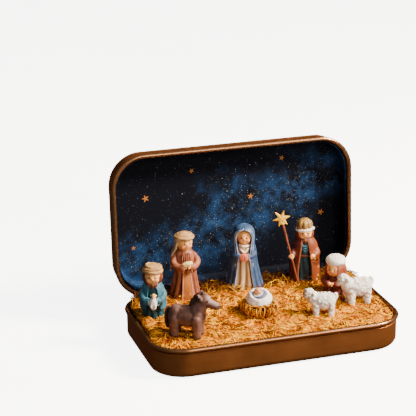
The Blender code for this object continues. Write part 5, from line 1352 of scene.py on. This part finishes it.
king = Figure("king", KING_AT, KING_TURN)
size = KING_HEAD
face_at = (0.0, -0.22 * size, KING_HEIGHT + 0.84 * size)
gown = garment(robe_line(KING_HEIGHT, 3.9, 3.2, 0.86), 9, 0.55, 9.0, fade=0.5)
king.add("king_folded_tunic", gown, dark_teal, "teal_clay", "king_tunic")
chest = [roll([(-1.3 + k * 0.1, -2.75, 16.0 - k, 0.28), (0.0, -3.15, 15.4 - k, 0.34),
               (1.3 - k * 0.1, -2.75, 16.0 - k, 0.28)], 16, 10) for k in (0.0, 0.9, 1.8)]
king.add("king_chest_folds", joined(chest), cape_blue, "teal_clay")
king.add("king_belt", hoop((0.0, 0.0, 11.5), 3.42, 2.95, 0.42), brown_hair, "hair_clay")
coat_line = [(0.0, 5.3, 4.1, 0.0, 148.0), (1.0, 5.55, 4.25, 0.0, 149.0), (7.2, 5.4, 4.15, 0.0, 151.0),
             (11.8, 5.0, 3.8, 0.0, 156.0), (15.4, 4.45, 3.5, 0.0, 160.0), (17.4, 3.4, 2.9, 0.0, 160.0),
             (18.1, 2.6, 2.4, 0.0, 160.0)]
coat_parts = [wrap(coat_line, 0.95, 8, 0.7, 10.0)]
for points in ([(-3.0, 0.0, 15.0, 1.45), (-4.4, -1.8, 12.85, 1.5), (-4.95, -3.1, 11.95, 1.25)],
               [(3.0, 0.0, 15.0, 1.5), (4.35, -1.7, 12.6, 1.6), (3.5, -3.1, 11.95, 1.25)],
               [(4.0, -1.9, 12.2, 1.5), (4.5, -2.2, 10.4, 1.15), (4.6, -2.2, 9.4, 0.6)]):
    coat_parts.append(roll(points))


def coat_lit(spot):
    """Painted light: the coat takes a lighter warm accent toward its left side, where the light falls on it.
    """
    return eased(spot.x - spot.y * 0.4, 1.0, 5.0)


def coat_shadow(spot):
    """A painted shadow: a dark line under the left sleeve's hanging lobe."""
    return 0.8 * eased(1.2 - abs(spot.z - 8.3 + (spot.x - 4.5) * 0.3), 0.2, 1.2) * eased(spot.x, 2.0, 3.5)


coat = fused(coat_parts, 0.17, 4)
# Painted light on the coat's lit side, and a painted shadow under the sleeve's lobe.
coat = pressed(coat, lambda spot: 0.06 * noise.noise(spot), pale=coat_lit, hollow=coat_shadow)
studs = []
for height, inset in ((1.9, 18.0), (3.6, 30.0), (5.4, 20.0), (6.6, 38.0), (10.6, 24.0), (12.4, 40.0)):
    edge = min(hem_path(coat_line, -1, inset, 80), key=lambda place: abs(place[2] - height))
    spot = min((vertex.co for vertex in coat.vertices), key=lambda place: (place - Vector(edge)).length)
    studs.append(lump(spot, (0.36, 0.36, 0.36), sides=16, rings=10))
king.add("king_open_coat", coat, terracotta, "terracotta_clay", "king_coat")
lapels = [roll([(*spot, 0.32) for spot in hem_path(coat_line, side, 0.0, 16, 0.1)], 44, 12)
          for side in (-1, 1)]
king.add("king_lapels", joined(lapels), lapel_rose, "terracotta_clay")
king.add("king_coat_studs", joined(studs), gold_trim, "gold_clay")
grip = Vector((-5.38, -3.97, HAND_HEIGHT))
along = Vector((-math.sin(STAFF_LEAN), 0.0, math.cos(STAFF_LEAN)))
staff_foot = grip - along * (HAND_HEIGHT - 0.25) / math.cos(STAFF_LEAN)
tip = staff_foot + along * STAFF_LENGTH
staff = [(*(staff_foot + along * STAFF_LENGTH * share), thick) for share, thick in
         ((0.0, 0.34), (0.3, 0.37), (0.6, 0.42), (0.85, 0.47), (1.0, 0.5))]
staff = uneven(roll(staff, 60, 16), 0.05, 1.5)
king.add("king_tapered_staff", staff, staff_brown, "staff_clay", "king_staff")
king.add("king_gripping_hand", hand_of(grip, 1.12, (0.5, -0.1, 0.0)), skin, "skin_clay", "king_right_hand")
king.add("king_resting_hand", hand_of((2.78, -4.2, HAND_HEIGHT), 1.1, (-0.5, -0.1, 0.0)), skin, "skin_clay",
         "king_left_hand")
star_at = tip + along * (STAR_RADIUS * 0.52 + 0.25)
work = bmesh.new()
middle = [work.verts.new((star_at.x, star_at.y + side * STAR_THICKNESS * 0.62, star_at.z))
          for side in (-1.0, 1.0)]
rims = [[], []]
for i in range(12):
    reach = STAR_RADIUS if i % 2 == 0 else STAR_RADIUS * 0.40
    angle = STAFF_LEAN + math.radians(30.0 * i + 60.0)
    for rim, side in zip(rims, (-1.0, 1.0)):
        rim.append(work.verts.new((star_at.x + reach * math.cos(angle),
                                   star_at.y + side * STAR_THICKNESS * 0.36,
                                   star_at.z + reach * math.sin(angle))))
for i in range(12):
    j = (i + 1) % 12
    work.faces.new((middle[0], rims[0][j], rims[0][i]))
    work.faces.new((middle[1], rims[1][i], rims[1][j]))
    work.faces.new((rims[0][i], rims[0][j], rims[1][j], rims[1][i]))
bmesh.ops.recalc_face_normals(work, faces=work.faces)
star = fused([mesh_of(work), lump(tip, (0.85, 0.75, 0.6))], 0.09, 3)
king.add("king_thick_star", star, star_ochre, "ochre_clay", "king_star")
king.face(face_at, size, tall=1.05)
beard = [hair_mass((0.0, 0.1 * size, face_at[2] - 0.16 * size), (1.16 * size, 1.12 * size, 1.24 * size), 0.28,
                   (0.58, 0.51), 30.0, 6.0),
         chin_tufts(size, face_at[2])]
king.add("king_combed_beard", joined(beard), brown_hair, "hair_clay", "king_hair_and_beard")
cap_low = face_at[2] + 0.42 * size
cap_line = [(cap_low + 4.2 * share, size * half, size * half) for share, half in
            ((0.0, 0.98), (0.36, 1.02), (0.68, 0.88), (0.91, 0.52), (1.0, 0.08))]
ribbed = garment(cap_line, 8, 0.36, 11.0, fade=0.15, wander=0.0)
king.add("king_ribbed_cap", ribbed, gilt, "gold_clay", "king_crown")
band = [hoop((0.0, 0.0, cap_low), 3.1, 3.1, 0.5, -5.0), lump((3.0, -1.4, cap_low + 0.5), (0.75, 0.7, 0.7))]
king.add("king_white_band", joined(band), wool, "white_clay", "king_headband")


# Kneeling shepherd. A low figure behind the lambs at the right: a wine-red robe spread in folds, a coral
# scarf down the back, and a wide cap of stippled white wool.
KNEELER_AT = (0.3323 * TIN_LENGTH, 0.1 * TIN_DEPTH)
KNEELER_TURN = -42.0
KNEELER_HEIGHT = 8.6
KNEELER_HEAD = 3.1

wine = clay("wine_red", (0.070, 0.008, 0.005), (0.17, 0.024, 0.013))

kneeler = Figure("kneeler", KNEELER_AT, KNEELER_TURN)
size = KNEELER_HEAD
face_at = (0.0, -0.35 * size, KNEELER_HEIGHT + 0.60 * size)
gown = garment(robe_line(KNEELER_HEIGHT, 5.2, 3.4, 0.92), 10, 0.8, 12.0, fade=0.8)
kneeler.add("kneeler_folded_robe", gown, wine, "wine_clay", "kneeler_robe")
sleeve = sleeve_pair(
    [(3.1, 0.1, 7.0, 1.15), (3.9, -2.0, 5.9, 1.3), (2.9, -3.8, 5.4, 1.2), (1.7, -4.4, 5.3, 1.35)])
kneeler.add("kneeler_bent_sleeves", sleeve, wine, "wine_clay", "kneeler_sleeves")
kneeler.add("kneeler_hands", hand_pair((0.8, -4.9, 5.5), 0.85, (0.5, -0.5, 0.5)), skin, "skin_clay")
scarf_coral = clay("scarf_coral", (0.17, 0.034, 0.011), (0.31, 0.077, 0.027))
scarf_line = [(4.6, 4.5, 4.3, 0.0, 120.0), (5.6, 4.5, 4.3, 0.0, 122.0), (7.5, 4.2, 4.0, 0.0, 126.0),
              (9.6, 3.8, 3.85, 0.0, 124.0), (11.2, 3.6, 3.6, 0.0, 122.0), (12.4, 3.1, 3.1, 0.0, 126.0)]
kneeler.add("kneeler_draped_scarf", wrap(scarf_line, 0.75, 8, 0.5, 13.0, facing=62.0), scarf_coral,
            "coral_clay", "kneeler_scarf")
kneeler.face(face_at, size, tall=1.0, ears=False)
cap = lump((0.0, 0.0, face_at[2] + 3.0), (3.85, 3.7, 2.35), sides=110, rings=70)
kneeler.add("kneeler_stippled_cap", pressed(cap, lambda spot: woolly(spot, 0.85, 0.20)), wool, "white_clay",
            "kneeler_woolly_cap")


# Manger. A low basket of short golden straws bound round a bowl holds a domed white quilt. The wrapped infant
# lies with closed eyes in the hollow pressed into the quilt's top.
MANGER_AT = (-0.0229 * TIN_LENGTH, -0.075 * TIN_DEPTH)
MANGER_TURN = -19.0
BASKET_RADIUS = 7.1
BASKET_HEIGHT = 5.7
BASKET_OVAL = 0.94
QUILT_RADIUS = 4.95
QUILT_TILT = math.radians(22.0)
INFANT_HEAD = 1.55
STRAW_COUNT = 250
LOOSE_COUNT = 80

manger = Figure("manger", MANGER_AT, MANGER_TURN)
basket_core = straw_finish("basket_core", (0.045, 0.011, 0.002), (0.12, 0.035, 0.005), (0.24, 0.08, 0.012),
                           0.5 * MM)
basket_straw = straw_finish("basket_straw", (0.09, 0.020, 0.001), (0.31, 0.095, 0.003), (0.76, 0.38, 0.026),
                            0.3 * MM)


def bundle_tree():
    """Round straws swept along the edges of a guide mesh, each with its own tone and thinned at its ends."""
    tree, given = new_tree("bound_straws", Thickness="Float", Seed="Int", Finish="Material")
    paths = add(tree, "GeometryNodeMeshToCurve", {"Mesh": given["Geometry"]})
    paths = add(tree, "GeometryNodeCurveSplineType", {0: paths}, spline_type="CATMULL_ROM")
    paths = add(tree, "GeometryNodeSetSplineResolution", {0: paths, "Resolution": 3})
    number = add(tree, "GeometryNodeCurveOfPoint")
    own = add(tree, "FunctionNodeRandomValue", {2: 0.0, 3: 1.0, "ID": number, "Seed": given["Seed"]}, out=1)
    paths, tone = kept(tree, paths, own)
    along = add(tree, "GeometryNodeSplineParameter")
    taper = 0.55 + 0.45 * (1.0 - (along * 2.0 - 1.0) ** 4.0)
    return thick_strands(tree, given, paths, tone, 6, Scale=taper * (0.75 + tone * 0.5))


def guides(paths):
    """Paths of points as chains of edges."""
    points, edges = [], []
    for path in paths:
        first = len(points)
        points += path
        edges += [(first + i, first + i + 1) for i in range(len(path) - 1)]
    mesh = bpy.data.meshes.new("guides")
    mesh.from_pydata(points, edges, [])
    return mesh


bowl_line = [(BASKET_HEIGHT * share, BASKET_RADIUS * half, BASKET_RADIUS * half * BASKET_OVAL)
             for share, half in ((0.0, 0.50), (0.22, 0.74), (0.55, 0.88), (0.82, 0.86), (0.95, 0.74))]
bowl = garment(bowl_line, 20, 0.25, 14.0, fade=0.0, steps=20)
manger.add("manger_bowl_core", bowl, basket_core, "straw", "manger_basket")
chance = random.Random(5)
straws = []
for _ in range(STRAW_COUNT):
    angle = chance.uniform(0.0, 2.0 * math.pi)
    skew = chance.uniform(-0.38, 0.38)
    start, end = chance.uniform(0.0, 0.30), chance.uniform(0.70, 1.06)
    reach = BASKET_RADIUS * chance.uniform(0.93, 0.985)
    path = []
    for step in range(6):
        share = start + (end - start) * step / 5.0
        swell = 0.62 + 0.38 * math.sin(min(1.0, share * 1.5) * math.pi * 0.5) - 0.22 * max(0.0, share - 0.72)
        spot = angle + skew * (share - 0.5)
        path.append(on_oval(reach * swell, reach * swell * BASKET_OVAL, spot,
                            max(0.25, BASKET_HEIGHT * share * 0.97)))
    straws.append(path)
for _ in range(LOOSE_COUNT):
    angle = chance.uniform(0.0, 2.0 * math.pi)
    span = chance.uniform(0.4, 0.9)
    reach = BASKET_RADIUS * chance.uniform(0.66, 0.90)
    straws.append([on_oval(reach, reach * BASKET_OVAL, angle + span * k / 5.0,
                           BASKET_HEIGHT * chance.uniform(0.86, 0.98)) for k in range(6)])
strips = grown(guides(straws), bundle_tree(), Thickness=0.21 * MM, Seed=4, Finish=basket_straw)
manger.add("manger_bound_straws", strips, basket_straw, "straw")
quilt_z = BASKET_HEIGHT * 1.18
upward = Vector((0.0, -math.sin(QUILT_TILT), math.cos(QUILT_TILT)))
hollow_at = Vector((0.0, 0.0, quilt_z)) + upward * QUILT_RADIUS * 0.52
head_at = hollow_at + upward * INFANT_HEAD * 0.30 + Vector((-0.45, 0.12 * QUILT_RADIUS, 0.0))


def quilted(spot):
    """Puffed squares, with a round hollow pressed in where the infant lies."""
    seam = abs(math.sin(spot.x * 1.15 + spot.y * 1.15)) * abs(math.sin(spot.x * 1.15 - spot.y * 1.15))
    near = (spot - hollow_at).length
    rim = 0.45 * math.exp(-((near - 3.3) / 0.8) ** 2)
    return 0.22 * (seam ** 0.4 - 1.0) * eased(near, 2.6, 3.6) + rim - 1.5 * (1.0 - eased(near, 1.9, 2.9))


quilt = lump((0.0, 0.0, quilt_z), (QUILT_RADIUS, QUILT_RADIUS * 0.92, QUILT_RADIUS * 0.52),
             (22.0, 0.0, 0.0), 120, 80)
quilt_white = clay("quilt_white", (0.72, 0.68, 0.64), (0.92, 0.90, 0.88), roughness=0.7, grain=0.3)
manger.add("manger_puffed_quilt", pressed(quilt, quilted), quilt_white, "white_clay", "manger_quilt")
tilt = Matrix.Translation(hollow_at - upward * 0.1) @ Matrix.Rotation(QUILT_TILT, 4, "X")
wrapping = lump((0.1, 0.0, -0.55), (2.55, 2.4, 0.8), sides=64, rings=40)
wrapping = pressed(wrapping, lambda spot: 0.05 * noise.noise(spot * 2.0),
                   pale=lambda spot: 1.0 - eased(math.hypot(spot.x + 0.60, spot.y - 0.45), 1.95, 2.25))
wrapping.transform(tilt)
lilac = clay("lilac_grey", (0.032, 0.038, 0.095), (0.075, 0.09, 0.19), accent=(0.66, 0.62, 0.66))
manger.add("infant_wrapping", wrapping, lilac, "mantle_clay", "infant_swaddle")
pale_skin = clay("pale_skin", (0.46, 0.195, 0.082), (0.63, 0.32, 0.155), accent=(0.88, 0.30, 0.20),
                 roughness=0.45, relief=0.02)
infant = head_of(INFANT_HEAD, 1.0)
closed = [((side * 0.20, 0.06), (side * 0.34, 0.0), (side * 0.48, 0.06)) for side in (-1.0, 1.0)]
lids = [line_on_face(INFANT_HEAD, places, 1.0, 0.01, 0.06) for places in closed]
lids.append(line_on_face(INFANT_HEAD, ((-0.12, -0.40), (0.0, -0.44), (0.12, -0.40)), 1.0, 0.01, 0.05))
lids = joined(lids)
facing_up = Matrix.Translation(head_at) @ Matrix.Rotation(math.radians(-38.0), 4, "X")
infant.transform(facing_up)
lids.transform(facing_up)
manger.add("infant_modelled_head", infant, pale_skin, "pale_skin_clay", "infant_head")
manger.add("infant_closed_eyes", lids, features, "hair_clay")


# Lambs. Two white lambs in pressed, curly wool stand at the right on four short legs, with their bare beige
# faces turned to the manger. Each has small ears that stand out, a short tail, and dark eyes and nostrils.
LAMBS = (("lamb_front", (0.2073 * TIN_LENGTH, -0.2179 * TIN_DEPTH), 164.0, 13.2, 35.0),
         ("lamb_back", (0.3771 * TIN_LENGTH, -0.1071 * TIN_DEPTH), 178.0, 15.0, 20.0))
CURL = 1.05

muzzle = clay("beige_muzzle", (0.40, 0.29, 0.21), (0.58, 0.46, 0.36), roughness=0.6)
for name, place, turn, size, head_turn in LAMBS:
    lamb = Figure(name, place, turn)
    side, ahead = math.sin(math.radians(head_turn)), math.cos(math.radians(head_turn))
    poll = Vector((0.38, 0.0, 0.72)) * size
    lumps = [ball(size, (0.0, 0.0, 0.48), (0.36, 0.235, 0.24)),
             ball(size, (-0.17, 0.0, 0.50), (0.19, 0.22, 0.22)),
             ball(size, (0.28, 0.0, 0.58), (0.16, 0.16, 0.19)),
             lump(poll, (size * 0.135, size * 0.135, size * 0.13)),
             ball(size, (-0.34, 0.0, 0.60), (0.075, 0.07, 0.115))]
    for x in (-0.22, 0.20):
        for y in (-0.12, 0.12):
            leg = [(x, y, 0.42, 0.10), (x, y, 0.2, 0.088), (x, y, 0.075, 0.082)]
            lumps.append(roll([[share * size for share in point] for point in leg], 10, 14))
    for y in (-1.0, 1.0):
        ear = poll + Vector((-side * y * 0.15, ahead * y * 0.15, 0.01)) * size
        lumps.append(lump(ear, (size * 0.035, size * 0.075, size * 0.05), (y * -25.0, 0.0, head_turn)))

    def curls(spot, size=size):
        return woolly(spot, CURL, 0.30) * eased(spot.z, size * 0.06, size * 0.22)

    # Painted shade: the wool is marked darker between its curls.
    fleece = pressed(fused(lumps, size * 0.013, 4), curls,
                     hollow=lambda spot: 0.6 * eased(noise.voronoi(spot / CURL)[0][0], 0.42, 0.85))
    lamb.add(name + "_curly_wool", fleece, wool, "white_clay", name + "_fleece")
    nose = poll + Vector((ahead * 0.10, side * 0.10, -0.045)) * size
    snout = nose + Vector((ahead * 0.05, side * 0.05, -0.03)) * size
    bare_face = [lump(nose, (size * 0.092, size * 0.088, size * 0.092)), lump(snout, (size * 0.06,) * 3)]
    lamb.add(name + "_bare_face", fused(bare_face, size * 0.009, 4), muzzle, "muzzle_clay", name + "_face")
    dots = []
    for y in (-1.0, 1.0):
        eye_at = Vector((ahead * 0.062 - side * y * 0.056, side * 0.062 + ahead * y * 0.056, 0.045))
        dots.append(lump(nose + eye_at * size, (size * 0.022,) * 3, sides=16, rings=10))
    for y in (-0.35, 0.35):
        nostril_at = Vector((ahead * 0.052 - side * y * 0.05, side * 0.052 + ahead * y * 0.05, 0.012))
        dots.append(lump(snout + nostril_at * size, (size * 0.012,) * 3, sides=12, rings=8))
    lamb.add(name + "_eyes_and_nostrils", joined(dots), bead, "mane_clay")


# Donkey. A chunky mauve-brown donkey stands at the front left with short thick legs, rounded ears, a dark
# mane and tail, and a painted highlight, paler and bluish, along the top of its nose.
DONKEY_AT = (-0.3333 * TIN_LENGTH, -0.2571 * TIN_DEPTH)
DONKEY_TURN = -33.0
DONKEY_LENGTH = 17.0
LEG_SPREAD = 2.05

# The mauve's accent is painted light, for the highlights on the back and along the nose.
mauve = clay("mauve_brown", (0.080, 0.033, 0.023), (0.175, 0.080, 0.058), accent=(0.30, 0.205, 0.20))
dark_mane = clay("dark_mane", (0.034, 0.013, 0.009), (0.075, 0.031, 0.022))
donkey = Figure("donkey", DONKEY_AT, DONKEY_TURN)
size = DONKEY_LENGTH
poll = Vector((size * 0.31, 0.0, size * 0.85))
muzzle_at = poll + Vector((size * 0.28, 0.0, -size * 0.09))
lumps = [ball(size, (-0.07, 0.0, 0.485), (0.37, 0.22, 0.24)),
         ball(size, (-0.27, 0.0, 0.495), (0.19, 0.21, 0.24)),
         ball(size, (0.19, 0.0, 0.515), (0.17, 0.195, 0.225)),
         roll([(size * 0.12, 0.0, size * 0.56, size * 0.175), (size * 0.24, 0.0, size * 0.72, size * 0.15),
               (*poll, size * 0.115)], 18, 24)]
for x in (-0.31, 0.19):
    for y in (-LEG_SPREAD, LEG_SPREAD):
        lumps.append(roll([(x * size * 0.96, y, size * 0.46, 2.1), (x * size, y, size * 0.25, 1.72),
                           (x * size, y, size * 0.12, 1.6), (x * size, y, size * 0.09, 1.6)], 14, 18))


def hoof_and_coat(spot):
    """Dark hooves, and a coat that is darker in slow patches."""
    return 0.7 * (1.0 - eased(spot.z, 0.8, 1.9)) + 0.3 * eased(-noise.noise(spot * 0.35), 0.1, 0.6)


# The top of the back takes a painted highlight; the hooves and slow patches are the coat's own darker colour.
donkey_body = pressed(fused(lumps, 0.2, 6), lambda spot: 0.10 * noise.noise(spot * 0.8), hollow=hoof_and_coat,
                      pale=lambda spot: 0.12 * eased(spot.z, size * 0.55, size * 0.74))
donkey.add("donkey_modelled_body", donkey_body, mauve, "donkey_clay", "donkey_body")
lumps = [lump(poll + Vector((0.35, 0.0, 0.3)), (size * 0.15, size * 0.135, size * 0.145)),
         roll([(*(poll + Vector((0.6, 0.0, 0.0))), size * 0.13), (*((poll + muzzle_at) / 2.0), size * 0.10),
               (*muzzle_at, size * 0.085)], 16, 24)]
for y in (-1.0, 1.0):
    root = poll + Vector((-size * 0.05, y * size * 0.11, size * 0.10))
    lumps.append(lump(root, (size * 0.045, size * 0.062, size * 0.105), (y * -14.0, -30.0, 0.0)))
    lumps.append(lump(muzzle_at + Vector((size * 0.045, y * size * 0.045, size * 0.03)), (0.42, 0.42, 0.36)))


def painted_nose_highlight(spot):
    """How much of the painted highlight, paler and bluish, falls on a place along the top of the nose."""
    along_nose = eased(spot.x, poll.x + 0.6, poll.x + 2.6)
    along_nose *= 1.0 - eased(spot.x, muzzle_at.x + 0.4, muzzle_at.x + 1.4)
    on_top = eased(spot.z - (poll.z - (spot.x - poll.x) * 0.32), 0.1, 1.3)
    return along_nose * on_top * (1.0 - eased(abs(spot.y), 0.9, 1.8))


donkey_head = pressed(fused(lumps, 0.15, 5), lambda spot: 0.06 * noise.noise(spot), pale=painted_nose_highlight,
                      hollow=lambda spot: 0.8 * eased(spot.x, muzzle_at.x + 0.5, muzzle_at.x + 1.4))
donkey.add("donkey_modelled_head", donkey_head, mauve, "donkey_clay", "donkey_head")
dots = [lump(poll + Vector((size * 0.115, y * size * 0.122, size * 0.045)), (0.30, 0.22, 0.34))
        for y in (-1.0, 1.0)]
dots += [lump(poll + Vector((-size * 0.045, y * size * 0.145, size * 0.11)),
              (size * 0.022, size * 0.028, size * 0.07), (y * -14.0, -30.0, 0.0)) for y in (-1.0, 1.0)]
donkey.add("donkey_eyes_and_inner_ears", joined(dots), bead, "mane_clay")
crest = [(0.02, 0.65), (0.05, 0.74), (0.09, 0.83), (0.145, 0.91), (0.21, 0.965), (0.28, 0.985)]
tufts = []
for i, (x, z) in enumerate(crest):
    for y in (-0.25, 0.25):
        tufts.append(lump((x * size, y + 0.2 * (i % 2), z * size), (size * 0.062, 0.62, size * 0.078),
                          (0.0, -38.0 + i * 12.0, y * 60.0)))
donkey.add("donkey_tufted_mane", fused(tufts, 0.13, 8), dark_mane, "mane_clay", "donkey_mane")
tail = [(x * size, 0.0, z * size, thick) for x, z, thick in
        ((-0.44, 0.64, 0.6), (-0.49, 0.54, 0.7), (-0.50, 0.38, 0.85), (-0.475, 0.24, 0.95))]
tail = roll(tail, 26, 18, strands=6, twist=0.2)
donkey.add("donkey_brushed_tail", tail, dark_mane, "mane_clay", "donkey_tail")
